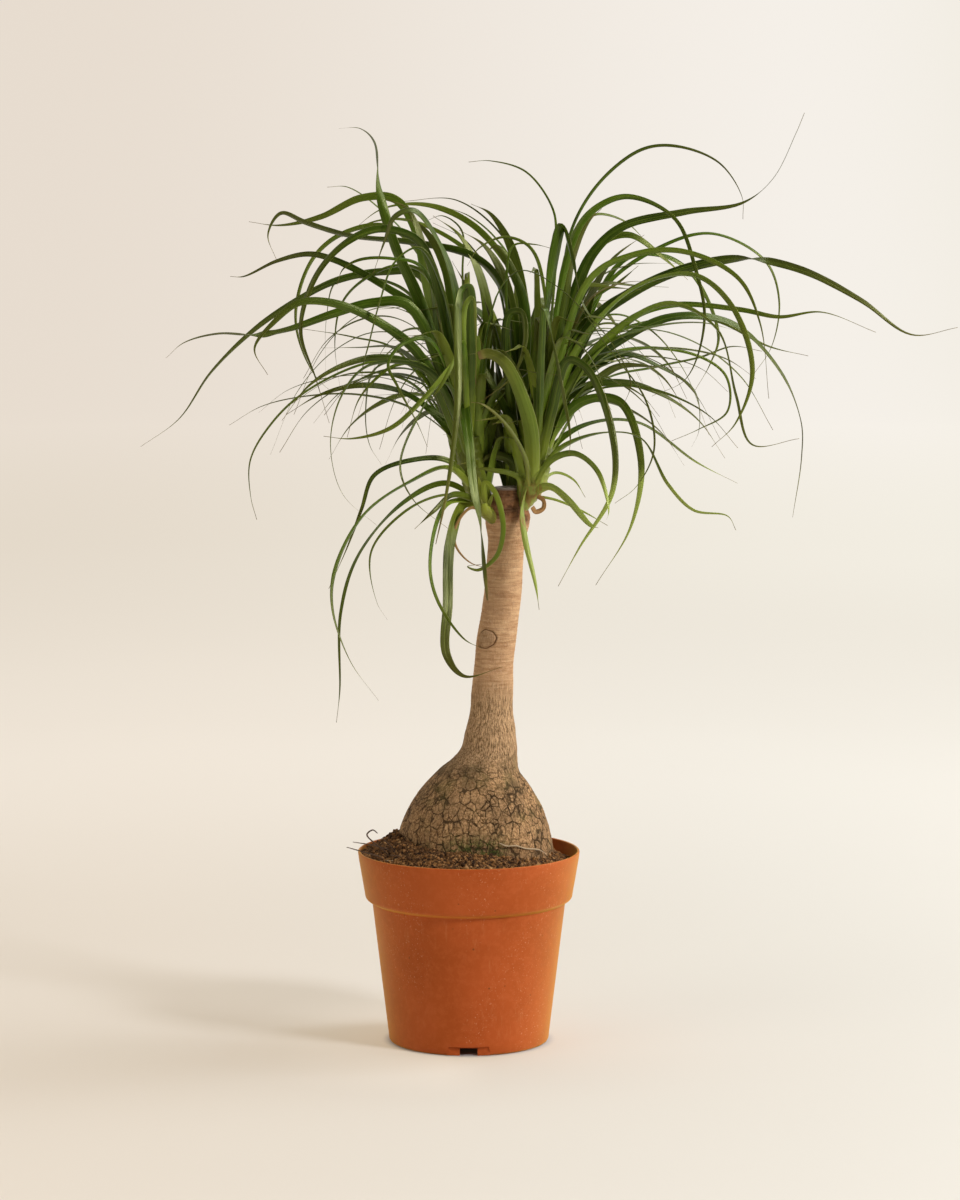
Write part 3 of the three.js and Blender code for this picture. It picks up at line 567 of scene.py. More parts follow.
# Foot and trunk. One woody body: a swollen foot whose corky bark has cracked into plates, a slim ringed
# trunk above it, the round scar of a lost shoot, and a flat sawn top sealed with grey wax.
# Height, X of the middle and half width, from the buried root ball to the sawn top
TRUNK_ROWS = [
    [96, 6, 22], [104, 6, 44], [122, 6, 61], [142, 5.5, 66.5], [161, 5.5, 66.2], [181, 4.5, 63.4],
    [192, 4.5, 59.9], [202, 4.9, 56.1], [212, 5.3, 50.5], [223, 6.6, 43.2], [233, 7.9, 35.1],
    [244, 13.5, 27.9], [254, 17.3, 23.9], [266, 18.4, 21.9], [285, 19.4, 18.4], [306, 20.3, 17.5],
    [326, 21.5, 16.4], [346, 23.5, 16.8], [368, 26.6, 16.3], [388, 29.2, 16.2], [410, 30.6, 15.7],
    [432, 32.2, 15.9], [446, 33, 18.6], [455, 33, 18.4], [464, 32.5, 13.6], [477, 32, 11],
]
# Rings of points: from a height, to a height, apart
RING_PITCH = [
    (96, 140, 4), (140, 262, 0.85), (262, 332, 2), (332, 360, 0.8), (360, 440, 1.8), (440, 477.1, 0.9),
]
TRUNK_RING = 3.4
TRUNK_FLATNESS = 0.95
TRUNK_SIDES = 288
TOP_RINGS = 8
SCAR_ANGLE = math.radians(-124)
SCAR_HEIGHT = 348.5
SCAR_RADIUS = 8.2


def spline(points, share):
    """Centripetal Catmull-Rom curve through the points, at shares from 0 to 1 of its parameter. Each span
    is a cubic whose end slopes come from its neighbours, spaced by the square root of their distance."""
    points = np.asarray(points, float)
    ends = np.vstack([2 * points[0] - points[1], points, 2 * points[-1] - points[-2]])
    along = np.asarray(share, float) * (len(points) - 1)
    span = np.minimum(along.astype(int), len(points) - 2)
    t = (along - span)[:, None]
    p0, p1, p2, p3 = (ends[span + step] for step in range(4))
    pairs = (p0, p1), (p1, p2), (p2, p3)
    d0, d1, d2 = (np.sqrt(np.linalg.norm(b - a, axis=1))[:, None] for a, b in pairs)
    slope1 = ((p1 - p0) / d0 - (p2 - p0) / (d0 + d1) + (p2 - p1) / d1) * d1
    slope2 = ((p2 - p1) / d1 - (p3 - p1) / (d1 + d2) + (p3 - p2) / d2) * d1
    square = -3 * p1 + 3 * p2 - 2 * slope1 - slope2
    cube = 2 * p1 - 2 * p2 + slope1 + slope2
    return p1 + slope1 * t + square * t ** 2 + cube * t ** 3


def trunk_body():
    """Rings round the leaning centre line, with lobes, lumps, wrinkles, rings and the scar added to the
    radius as functions of height and angle. Gives the points and the marks that the bark finish reads."""
    fine = spline(np.array(TRUNK_ROWS, float), np.linspace(0, 1, 4000))
    z = np.concatenate([np.arange(*span) for span in RING_PITCH])[:, None]
    x, half = (np.interp(z, fine[:, 0], fine[:, axis]) for axis in (1, 2))
    angle = around(TRUNK_SIDES)[None]
    foot = 1 - fade(200, 270, z)
    lobes = 0.022 * np.sin(3 * angle + 0.9) + 0.014 * np.sin(5 * angle + z / 31)
    radius = half * (1 + foot * lobes + 0.012 * np.sin(2 * angle + z / 23))
    place = np.stack([x + radius * np.cos(angle), radius * np.sin(angle), z + 0 * angle], axis=-1)
    corky = 1 - fade(225, 268, z + 9 * clouds(place, 18, seed=51))
    lumps = clouds(place * [1, 1, 0.7], 11, seed=53, octaves=3)
    grit = clouds(place, 2.6, seed=61, octaves=2)
    furrow = clouds(place * [1, 1, 0.22], 3.0, seed=67, octaves=2)
    upper = fade(285, 330, z)
    neck = fade(215, 245, z) * (1 - upper)
    step = (z + 2.6 * clouds(place * [1, 1, 0.5], 14, seed=71, octaves=2)) / TRUNK_RING
    ring = np.abs(step - np.floor(step) - 0.5) * 2
    strength = hashed(np.stack([np.floor(step), 0 * step, 0 * step], axis=-1).astype(np.int64), seed=77)
    rings = fade(0.55, 1.0, ring) * (0.15 + 0.85 * strength) * upper
    across = (np.mod(angle - SCAR_ANGLE + np.pi, 2 * np.pi) - np.pi) * half / 1.08
    up = (z - SCAR_HEIGHT) / 0.94
    bearing = np.arctan2(up, across)
    edge = SCAR_RADIUS * (1 + 0.04 * np.sin(3 * bearing + 1.2) + 0.02 * np.sin(8 * bearing))
    from_scar = np.hypot(across, up) - edge
    groove = np.exp(-((from_scar - 0.2) / 0.75) ** 2)
    face = 1 - fade(-1.4, -0.2, from_scar)
    radius = radius + (0.75 * lumps + 0.25 * grit) * corky + 0.12 * grit * (1 - corky) + 0.5 * furrow * neck
    radius = radius - 0.26 * rings * (1 - face) + 0.4 * grit * fade(440, 450, z)
    swelling = np.exp(-((from_scar - 1.9) / 1.1) ** 2)
    radius = radius + face * (1.1 + 0.35 * grit - 0.35 * furrow) - 1.0 * groove + 0.5 * swelling
    places = x + radius * np.cos(angle), TRUNK_FLATNESS * radius * np.sin(angle), z + 0 * angle
    points = np.stack(places, axis=-1)
    inward = np.linspace(1, 0.12, TOP_RINGS)[1:, None]
    middle = np.array([TRUNK_ROWS[-1][1], 0, 0])
    lid = (points[-1] - middle)[None] * np.stack([inward, inward, 1 + 0 * inward], axis=-1)
    lid[..., 2] += 0.9 * np.sin(np.pi * inward) - 0.6 * (1 - inward)
    lid[..., 2] += 0.25 * clouds(lid, 2.2, seed=83)
    lid = lid + middle
    ends = [points[0].mean(axis=0), lid[-1].mean(axis=0)]
    body, faces = capped(np.concatenate([points, lid]), ends)
    marks = np.stack([groove, rings, face, 0.5 + 0.5 * lumps], axis=-1).reshape(-1, 4)
    return body, faces, np.concatenate([marks, np.zeros((len(body) - len(marks), 4))])


def crack_lines(paint, here, plate, wander, thin, thick):
    """Dark lines between the cells of a plate pattern, bent by two sizes of noise, and thinner in places."""
    bent = paint.bend(paint.bend(here, 60, wander), 260, wander * 0.35)
    edge = paint.cells(paint.stretch(bent, tuple(1 / size for size in plate)), 1, "DISTANCE_TO_EDGE")
    width = thin + (thick - thin) * paint.ramp(paint.noise(here, 75), 0.36, 0.66)
    return 1 - paint.ramp(edge / width, 0.35, 1.0)


def bark_finish():
    """Bark by height: cracked grey-brown cork on the foot, green algae by the soil, upright straw-brown
    fibres on the neck, blotched tan with fine rings on the trunk, wet red-brown under the cut, and wax."""
    paint = Paint("bark_finish", Specular_IOR_Level=0.15, Specular_Tint=(1.0, 0.8, 0.5, 1))
    here = paint.place()
    x, y, height = paint.axes(here)
    groove, ring, scar, _ = paint.attribute("bark")
    cloud = paint.noise(here, 26, detail=4)
    patch = paint.noise(here, 55, detail=4, rough=0.6)
    grain = paint.noise(here, 520, detail=6, rough=0.72)
    pebble = paint.noise(here, 240, detail=4, rough=0.6)
    fibres = paint.noise(here, (1250, 1250, 150), detail=4, rough=0.7, warp=0.3)
    bands = paint.noise(here, (45, 45, 620), detail=5, rough=0.65, warp=0.3)
    blotches = paint.noise(here, (75, 75, 120), detail=4, rough=0.65)
    soaked = paint.noise(here, 130, detail=5, rough=0.65)
    level = height + (cloud - 0.5) * 0.030
    cork = paint.coats(
        paint.mix(paint.ramp(grain, 0.36, 0.62), (0.165, 0.085, 0.036), (0.56, 0.335, 0.160)),
        (paint.ramp(patch, 0.40, 0.62) * 0.50, (0.215, 0.128, 0.064)),
        (paint.ramp(fibres, 0.55, 0.68) * 0.35, (0.60, 0.40, 0.22)),
    )
    neck = paint.coats(
        paint.mix(paint.ramp(fibres, 0.38, 0.62), (0.145, 0.082, 0.038), (0.59, 0.375, 0.200)),
        (paint.ramp(grain, 0.52, 0.64) * 0.35, (0.60, 0.42, 0.25)),
    )
    tan = paint.coats(
        paint.mix(paint.ramp(bands, 0.30, 0.66), (0.430, 0.235, 0.112), (0.67, 0.430, 0.240)),
        (paint.ramp(blotches, 0.48, 0.66) * 0.45, (0.34, 0.170, 0.078)),
        (paint.ramp(patch, 0.35, 0.70) * 0.35, (0.43, 0.235, 0.115)),
        (paint.ramp(fibres, 0.54, 0.66) * 0.40, (0.27, 0.140, 0.062)),
        (paint.ramp(grain, 0.56, 0.66) * 0.40, (0.74, 0.54, 0.37)),
    )
    pale = paint.ramp(paint.noise(here, (60, 60, 700)), 0.60, 0.70) * paint.ramp(height, 0.29, 0.33)
    lines = paint.ramp(paint.noise(here, (90, 90, 950)), 0.61, 0.70) * paint.ramp(height, 0.30, 0.34)
    wet = paint.coats(
        paint.mix(paint.ramp(soaked, 0.38, 0.62), (0.062, 0.020, 0.009), (0.30, 0.130, 0.055)),
        (paint.ramp(bands, 0.45, 0.65) * 0.35, (0.36, 0.19, 0.10)),
    )
    foot = 1 - paint.ramp(level, 0.226, 0.262)
    large = crack_lines(paint, here, (0.0074, 0.0074, 0.0112), 0.0026, 0.030, 0.098)
    small = crack_lines(paint, here, (0.0034, 0.0034, 0.0052), 0.0016, 0.040, 0.120)
    upright = crack_lines(paint, here, (0.0034, 0.0034, 0.0180), 0.0012, 0.030, 0.100)
    broken = paint.ramp(paint.noise(here, 90), 0.38, 0.54)
    rising = paint.ramp(paint.noise(here, 60, detail=2), 0.44, 0.56)
    web = small * broken * 0.38 * foot
    crack = large * foot * (0.65 + 0.35 * paint.ramp(patch, 0.36, 0.52))
    fissure = upright * rising * paint.ramp(height, 0.168, 0.200) * (1 - paint.ramp(level, 0.236, 0.262))
    face = paint.mix(paint.ramp(fibres, 0.35, 0.62), (0.16, 0.085, 0.040), (0.45, 0.29, 0.16))
    collar = paint.ramp(level, 0.219, 0.230) * (1 - paint.ramp(level, 0.238, 0.252))
    near = 1 - paint.ramp(y, -0.045, -0.020)
    low = 1 - paint.ramp(height + (pebble - 0.5) * 0.04, 0.176, 0.196)
    beside = (1 - paint.ramp(x, 0.020, 0.045)) * paint.ramp(x, -0.030, -0.008)
    moss = near * low * beside * paint.ramp(pebble, 0.38, 0.54)
    green = paint.mix(paint.ramp(grain, 0.42, 0.62), (0.008, 0.014, 0.004), (0.070, 0.105, 0.020))
    algae = (1 - paint.ramp(level, 0.232, 0.262)) * paint.ramp(paint.noise(here, 42, detail=5), 0.52, 0.72)
    damp = 1 - paint.ramp(height + (cloud - 0.5) * 0.02, 0.160, 0.182)
    wax = paint.ramp(height, 0.4740, 0.4762)
    bark = paint.coats(
        cork,
        (paint.ramp(level, 0.226, 0.250), neck),
        (paint.ramp(level, 0.285, 0.325), tan),
        (ring * 0.22, (0.20, 0.095, 0.042)),
        (pale * 0.35, (0.70, 0.49, 0.31)),
        (lines * 0.30, (0.16, 0.078, 0.036)),
        (paint.ramp(level + x * 0.10, 0.447, 0.459) * 0.9, wet),
        (web, (0.075, 0.042, 0.020)),
        (fissure * 0.60, (0.050, 0.030, 0.014)),
        (crack * 0.85, (0.030, 0.018, 0.009)),
        (scar * 0.65, face),
        (paint.ramp(groove, 0.30, 0.95) * 0.75, (0.075, 0.036, 0.016)),
        (collar * paint.ramp(patch, 0.38, 0.62) * 0.65, (0.080, 0.056, 0.026)),
        (moss * 0.9, green),
        (algae * 0.32, (0.145, 0.130, 0.040)),
        (damp * 0.45, (0.075, 0.043, 0.020)),
        (wax * 0.85, paint.mix(grain, (0.16, 0.13, 0.11), (0.42, 0.37, 0.33))),
    )
    rough = 0.80 - 0.3 * wax - 0.18 * paint.ramp(level, 0.444, 0.456) + 0.1 * grain
    relief = paint.relief(
        (grain, 0.0011, 0.8),
        (pebble, 0.0012, 0.6),
        (1 - crack, 0.0012, 0.9),
        (1 - web, 0.0006, 0.8),
        (1 - fissure, 0.0010, 0.8),
        (bands * paint.ramp(height, 0.27, 0.31), 0.0010, 0.7),
        (fibres * paint.ramp(height, 0.215, 0.24), 0.0008, 0.6),
    )
    return paint.finish(Base_Color=bark, Roughness=rough, Normal=relief)


trunk_points, trunk_faces, trunk_marks = trunk_body()
trunk = make_piece("foot_and_trunk", trunk_points, trunk_faces, bark_finish())
add_attribute(trunk, "bark", trunk_marks)
belongs(trunk, "trunk_bark", "trunk")


# Heads of leaves. Each one is a shoot grown out under the cut, with long strap leaves that clasp it by a
# broad pale root, arch over and hang. A blade is a shallow channel that tapers to a dry hair.
# The photograph's eye: its X, how far it stands back from the pot's middle, and its height
EYE_X, EYE_BACK, EYE_HEIGHT = 9.6, 3437, 775
LEAF_STEPS = 80
LEAF_THICK = 0.5
HAIR = 0.42
# A blade's section: its corners' places across half the width, their side of the blade, and its closing faces
SECTION_SIDE = np.array([-1, -0.9, -0.07, 0.07, 0.9, 1, 0.9, 0.07, -0.07, -0.9])
SECTION_FACE = np.array([0, -1, -1, -1, -1, 0, 1, 1, 1, 1])
SECTION_END = np.array([[9, 8, 1, 0], [8, 7, 2, 1], [7, 6, 3, 2], [6, 5, 4, 3]])
# How strongly a blade turns at each step to lie across its given line
PULL = 0.10
CORE_STEPS = 60
CORE_SIDES = 24
# The stem's share of the shoot's axis, and where the lowest leaf and the range of the others sit on it
CORE_SHARE = 0.62
ROOT_LOW = 0.1
ROOT_SPAN = 0.5
LEAF_BASES = 13
SHOOT_FOOT = 450
# Seeds of the draws, and the step from one leaf to the next
SHOWN_SEED, CLOSE_SEED, SEED_STEP = 1009, 5003, 17
SET_SEED_STEP = 101
CLOSE_LOOKS = 100

# Leaves as they show from the front: height on the shoot from 0 to 1, width, depth of the tip from the shoot
# (minus is towards the eye), lean of the blade from facing the eye in degrees, then X, Z pairs to the tip
LEFT_LEAVES = [
    [0.80, 8.5, -20, 20, -41, 633, -62, 680, -75, 727, -79, 768, -91, 779, -109, 779],
    [0.80, 7.5, 60, 25, -33, 640, -45, 696, -62, 720, -90, 721, -125, 705, -160, 698, -185, 701],
    [0.75, 7.5, -45, 60, -12, 645, -25, 683, -46, 710, -62, 705, -71, 684, -81, 656],
    [0.70, 4.0, -80, 30, -24, 650, -42, 679, -62, 667, -75, 633, -84, 599, -90, 575, -89, 556],
    [0.70, 6.5, -50, 30, -30, 660, -44, 686, -75, 695, -104, 683, -129, 655, -142, 610, -129, 568, -118, 531],
    [0.70, 5.0, 90, 40, -40, 672, -70, 697, -108, 690, -133, 667, -146, 619, -131, 573, -108, 551],
    [0.65, 5.8, 40, 25, -33, 618, -68, 645, -113, 669, -135, 674, -162, 668, -190, 655, -201, 655],
    [0.70, 6.0, 80, 30, -40, 655, -70, 659, -110, 652, -143, 636, -180, 611, -218, 574, -245, 535, -278, 511],
    [0.60, 7, -40, 20, -50, 630, -80, 633, -116, 623, -150, 611, -177, 606, -212, 607, -241, 599, -256, 586],
    [0.50, 2.0, 60, 30, -60, 592, -98, 604, -141, 611],
    [0.50, 7.0, -90, 35, -39, 585, -70, 613, -112, 632, -143, 633, -164, 617, -181, 594, -170, 572],
    [0.60, 3.0, 110, 40, -50, 640, -90, 654, -112, 650, -120, 620, -121, 568],
    [0.65, 3.0, -30, 30, -39, 662, -65, 670, -92, 669, -106, 661, -111, 648],
    [0.65, 4.0, 30, 45, -36, 656, -60, 664, -90, 651, -107, 632, -113, 600, -109, 562],
    [0.45, 2.5, -30, 30, -40, 572, -61, 585, -93, 580, -139, 557, -166, 532, -185, 500, -185, 469, -180, 449],
    [0.45, 4.5, -110, 35, -30, 572, -61, 583, -88, 578, -108, 553, -117, 513, -107, 471, -78, 444],
    [0.30, 7.5, -30, 20, -14, 523, -39, 547, -61, 559, -93, 563, -126, 555, -155, 538],
    [0.45, 2.0, 100, 30, -42, 560, -66, 572, -91, 574, -115, 569, -154, 545],
    [0.55, 3.0, -70, 40, -38, 580, -62, 580, -77, 570, -93, 551, -103, 519],
    [0.50, 3.0, 120, 40, -50, 582, -79, 577, -87, 543, -84, 513, -74, 496],
    [0.60, 3.0, -120, 40, -34, 602, -57, 597, -68, 581, -60, 562, -43, 530, -35, 511],
    [0.95, 5.0, -90, 20, 5, 604, -12, 583, -37, 553, -66, 527, -99, 518, -123, 520],
    [0.90, 4.0, -110, 40, -6, 600, -14, 580, -26, 559, -35, 548],
    [0.55, 3.0, -130, 40, -20, 565, -43, 536, -58, 494, -47, 466, -17, 441],
    [0.15, 4.0, -50, 30, -17, 499, -47, 500, -80, 487, -91, 458, -103, 426, -119, 390],
    [0.12, 5.5, -90, 25, -17, 493, -50, 481, -89, 453, -113, 408, -116, 374, -101, 328, -77, 294],
    [0.08, 4.5, 20, 30, -20, 480, -56, 463, -94, 418, -109, 369, -110, 303, -113, 275],
    [0.06, 2.5, 70, 40, -20, 470, -54, 456, -83, 421, -78, 378, -69, 363],
    [0.08, 5.0, -60, 20, -14, 470, -29, 457, -46, 441],
    [0.05, 9.5, -75, 25, -4, 464, -16, 430, -18, 377, -19, 334, -4, 315, 29, 323],
    [0.08, 3.5, -95, 30, -19, 462, -33, 414, -27, 381, -4, 347, 11, 339],
    [0.90, 8.0, -150, 8, 1, 600, 1, 637, -1, 646, -5, 644, -8, 632, -9, 600, -9, 557, -12, 519, -20, 465,
     -28, 428],
    [0.85, 4.0, -125, 25, -2, 632, 3, 637, 6, 611, 6, 564],
    [0.60, 8.0, -70, 20, -4, 548, 0, 516, 4, 476, 9, 450, 13, 409, 16, 380],
    [0.85, 2.0, 110, 30, -45, 678, -75, 712, -102, 730, -119, 730],
    [0.90, 2.0, 40, 30, -5, 657, -6, 694, -22, 706, -35, 702],
    [0.90, 3.0, -110, 40, 27, 645, 45, 660, 84, 639, 120, 592, 150, 550, 157, 508, 142, 477, 124, 463],
]
BACK_LEAVES = [
    [0.90, 6.0, 60, 25, 46, 640, 28, 673, 0, 701, -35, 715, -72, 712, -100, 692],
    [0.90, 2.0, 90, 30, 49, 640, 30, 687, -10, 719, -57, 718],
    [0.85, 2.0, 75, 30, 38, 662, 22, 688, 0, 706, -22, 714],
    [0.60, 8.0, 0, 20, 28, 645, 5, 671, -45, 683, -100, 689, -137, 700, -158, 708, -169, 690, -162, 669],
    [0.70, 4.0, 110, 40, 30, 640, -5, 680, -50, 702, -80, 701, -107, 688],
    [0.80, 2.0, 50, 30, 24, 650, 7, 674, -6, 688, -30, 700],
    [0.80, 8.0, -12, 15, 47, 630, 37, 659, 23, 680, 15, 676],
    [0.70, 6.0, -80, 20, 31, 600, 35, 624, 44, 625, 48, 602, 37, 571, 10, 549],
    [0.80, 2.0, -35, 30, 32, 655, 38, 681, 55, 682, 72, 678],
]
RIGHT_LEAVES = [
    [0.80, 9.5, -50, 70, 65, 600, 73, 676, 79, 697, 87, 672, 97, 630, 122, 597, 137, 565, 131, 546],
    [0.90, 2.0, 30, 30, 74, 690, 70, 714, 48, 743, 18, 752, 0, 751],
    [0.85, 3.0, -20, 30, 80, 660, 90, 702, 114, 738, 147, 762, 176, 764, 211, 750, 230, 722, 231, 703],
    [0.85, 8.0, 30, 25, 92, 647, 106, 676, 130, 697, 181, 709, 231, 717, 256, 737, 275, 775, 282, 792],
    [0.80, 5.0, -40, 40, 86, 680, 103, 709, 133, 722, 173, 704, 191, 662, 199, 617, 184, 569, 155, 554],
    [0.80, 4.0, 70, 40, 90, 680, 104, 706, 130, 702, 157, 676],
    [0.75, 6.0, 50, 20, 105, 676, 134, 690, 165, 670, 185, 652],
    [0.60, 8.0, -30, 25, 104, 615, 135, 640, 178, 660, 230, 670, 279, 661, 331, 635, 374, 606, 413, 612],
    [0.60, 3.0, 60, 30, 110, 640, 160, 679, 205, 691, 250, 668, 262, 635, 256, 596, 240, 571],
    [0.30, 5.0, 20, 25, 80, 560, 135, 618, 172, 631, 230, 627, 262, 621, 298, 625, 344, 608],
    [0.25, 6.5, -60, 35, 75, 545, 120, 605, 170, 632, 210, 610, 226, 555, 240, 513, 280, 518],
    [0.20, 8.0, -20, 30, 85, 560, 134, 604, 174, 621, 223, 615, 262, 577, 281, 534, 282, 502, 275, 451],
    [0.40, 4.0, 80, 30, 110, 598, 150, 616, 205, 619, 254, 596, 287, 588],
    [0.50, 6.0, -45, 65, 105, 590, 150, 611, 196, 616, 228, 609],
    [0.40, 6.5, -75, 40, 90, 590, 140, 645, 190, 656, 222, 630, 240, 575, 226, 531, 206, 511],
    [0.35, 5.0, 40, 40, 90, 560, 128, 589, 161, 579, 191, 558, 195, 525, 189, 511],
    [0.30, 2.5, 100, 30, 110, 565, 160, 579, 196, 587, 223, 596, 248, 592],
    [0.75, 4.0, 90, 40, 130, 668, 165, 672, 190, 655, 211, 605, 204, 581, 191, 558],
    [0.75, 5.0, -95, 35, 102, 652, 138, 673, 181, 676, 227, 654, 246, 616, 254, 552],
    [0.70, 3.0, 40, 30, 103, 647, 133, 664, 178, 666],
    [0.70, 3.0, 10, 30, 100, 629, 129, 652, 143, 664],
    [0.65, 3.0, -25, 30, 100, 633, 128, 649, 162, 651],
    [0.40, 2.5, 80, 30, 110, 585, 180, 592, 217, 572, 219, 541, 195, 526, 172, 516],
    [0.30, 7.0, -90, 45, 70, 540, 84, 584, 99, 578, 121, 526, 122, 473, 94, 425, 76, 392],
    [0.25, 8.0, -40, 40, 72, 525, 98, 550, 128, 549, 146, 500, 138, 444, 108, 393],
    [0.20, 5.5, 70, 25, 77, 516, 107, 532, 145, 531, 193, 498, 228, 480],
    [0.18, 4.5, -70, 30, 77, 509, 116, 523, 146, 518, 169, 479, 191, 457, 220, 452, 227, 440],
    [0.15, 5.0, -100, 35, 70, 500, 91, 505, 110, 489, 119, 456, 117, 449],
    [0.12, 2.5, 40, 30, 73, 489, 89, 483, 99, 468],
    [0.10, 6.5, -60, 25, 68, 477, 84, 466, 104, 444, 110, 442],
    [0.08, 2.5, -20, 30, 73, 466, 97, 456, 118, 444],
    [0.10, 6.5, -35, 15, 50, 476, 46, 456, 48, 433, 57, 393, 60, 372],
    [0.60, 5.0, -120, 30, 62, 600, 64, 628, 70, 605, 80, 555, 86, 520, 85, 503],
    [0.20, 10.0, -70, 15, 53, 523, 46, 550, 34, 577, 26, 586, 16, 590, 8, 588],
    [0.15, 3.5, -90, 25, 47, 504, 31, 531, 12, 547, 2, 549],
    [0.85, 4.0, -40, 35, 64, 640, 52, 679, 30, 688, 8, 678, -1, 664],
    [0.02, 5.5, -12, 40, 58, 468, 63, 465, 63, 459, 57, 456, 54, 460],
]
# Shoots: the axis, and its thickness at the foot, the middle and the top
LEFT_SHOOT = ([[17, 3, 452], [7, 6, 474], [1, 4, 502], [-5, 0, 540], [-9, -4, 586]], [5.5, 10.5, 12])
BACK_SHOOT = ([[36, 7, 464], [40, 17, 484], [42, 21, 512], [45, 23, 548], [48, 25, 584]], [5, 9, 10.5])
RIGHT_SHOOT = ([[44, -4, 458], [56, -8, 480], [59, -9, 508], [61, -9, 540], [64, -9, 574]], [5, 10, 12])

# Leaves that the front hides, and fine ones all round, in sets: how many, the first seed, the bearing of the
# first and the spread of bearings in degrees (0 is +X, 90 is away from the eye), the height on the shoot of
# the lowest and the highest, the least reach and its range, and the same of drop and width
LEFT_FILL = [
    (9, 11, 98, 115, 0.3, 0.95, 90, 110, -20, 60, 3.2, 5.8),
    (9, 1301, 95, 150, 0.5, 0.98, 80, 100, -30, 60, 1.6, 1.6),
]
BACK_FILL = [
    (12, 37, 58, 78, 0.25, 0.98, 90, 110, -20, 60, 3.2, 5.8),
    (6, 1511, 40, 110, 0.5, 0.98, 70, 90, -30, 60, 1.6, 1.6),
]
RIGHT_FILL = [
    (8, 71, -25, 80, 0.3, 0.95, 90, 110, -20, 60, 3.2, 5.8),
    (9, 1409, -62, 140, 0.5, 0.98, 80, 100, -30, 60, 1.6, 1.6),
]

# Inner leaves, broad and nearly upright, in sets: how many, the first seed, the first bearing and the spread,
# the lowest root and its range on the shoot, the least reach and its range, and the same of rise and width
LEFT_INNER = [
    (12, 211, 120, 225, 0.3, 0.7, 25, 70, 105, 80, 7, 3),
    (9, 613, 100, 260, 0.3, 0.7, 60, 70, 95, 55, 8, 3),
    (11, 823, 0, 360, -0.15, 0.5, 8, 22, 45, 60, 9, 4),
]
BACK_INNER = [
    (7, 337, 50, 90, 0.3, 0.7, 25, 70, 105, 80, 7, 3),
    (7, 739, 10, 200, 0.3, 0.7, 60, 60, 95, 55, 8, 3),
    (8, 947, 0, 360, -0.15, 0.5, 8, 18, 45, 60, 8, 4),
]
RIGHT_INNER = [
    (10, 471, -110, 185, 0.3, 0.7, 25, 70, 105, 80, 7, 3),
    (9, 877, -140, 240, 0.3, 0.7, 60, 70, 95, 55, 8, 3),
    (11, 1051, 0, 360, -0.15, 0.5, 8, 22, 45, 60, 9, 4),
]

# Close leaves in the middle of the heads, each with the same columns as a shown one
LEFT_CLOSE = [
    [0.35, 10, -6, 10, -22, 560, -27, 600, -29, 640, -38, 680, -52, 712, -70, 720],
    [0.40, 10, 8, -15, -12, 560, -14, 610, -16, 650, -27, 680, -44, 700, -60, 704],
    [0.30, 10, -10, 12, -2, 530, -4, 570, 2, 610, -2, 645, -14, 668],
    [0.45, 10, 15, 20, 8, 540, 14, 585, 16, 625, 8, 660, -8, 690, -30, 706],
    [0.35, 9, -22, -20, -14, 520, -24, 550, -38, 582, -60, 608, -84, 618],
    [0.25, 9, -10, 15, -9, 505, -15, 530, -20, 560, -22, 600, -28, 632],
    [0.15, 8, -12, -10, 2, 500, 6, 530, 10, 560, 12, 590, 8, 612],
    [0.05, 9, 5, 15, 14, 505, 20, 530, 28, 555, 37, 588],
    [0.10, 9, 8, -10, 10, 510, 15, 540, 20, 575, 22, 612],
]
BACK_CLOSE = [
    [0.50, 10, 10, 10, 42, 560, 40, 600, 36, 630, 27, 660, 12, 682, -8, 694],
    [0.30, 11, -6, -12, 36, 530, 28, 560, 22, 590, 18, 620, 10, 645],
    [0.50, 10, 15, 5, 46, 570, 48, 610, 44, 650, 34, 684, 18, 708, 2, 716],
    [0.25, 10, 5, 8, 40, 525, 44, 560, 50, 600, 53, 622],
    [0.15, 9, -4, -15, 38, 510, 33, 535, 26, 560, 22, 585],
    [0.00, 9, -2, 10, 33, 500, 26, 525, 18, 550, 12, 582],
    [0.00, 9, -6, -10, 38, 505, 37, 540, 34, 575, 29, 612],
    [-0.10, 9, -10, 0, 38, 496, 27, 503, 16, 502, 8, 494],
    [-0.10, 8, 2, 0, 36, 500, 26, 515, 14, 532, 6, 556],
    [-0.05, 8, 6, 0, 34, 505, 24, 512, 20, 540, 20, 572],
    [-0.15, 9, 8, 0, 30, 490, 22, 500, 14, 520, 10, 545],
]
RIGHT_CLOSE = [
    [0.40, 11, -15, -10, 66, 545, 74, 590, 80, 630, 86, 665, 100, 700, 112, 712],
    [0.35, 10, -25, 20, 60, 540, 58, 580, 60, 610, 63, 632],
    [0.30, 11, 10, 0, 78, 560, 92, 600, 104, 640, 122, 670, 148, 690],
    [0.20, 10, -8, 12, 58, 515, 60, 545, 64, 580, 68, 618],
    [-0.15, 5, -14, 20, 43, 484, 34, 489, 21, 491, 11, 492.5, 2, 491],
    [0.10, 9, -12, -14, 62, 510, 70, 540, 80, 570, 92, 592],
    [0.00, 8, 4, 10, 46, 503, 35, 534, 21, 562, 8, 588, 0, 614],
]


def draws(seed, count):
    """Seeded numbers from 0 to 1: each state is 16807 times the one before, modulo the prime."""
    prime = 2147483647
    states = [seed]
    for _ in range(count):
        states.append(states[-1] * 16807 % prime)
    return [state / prime for state in states[1:]]


def leaf_root(axis, height):
    """The point of a shoot's axis where a leaf springs, at its height on the shoot from 0 to 1."""
    return spline(axis, [ROOT_LOW + ROOT_SPAN * height])[0]


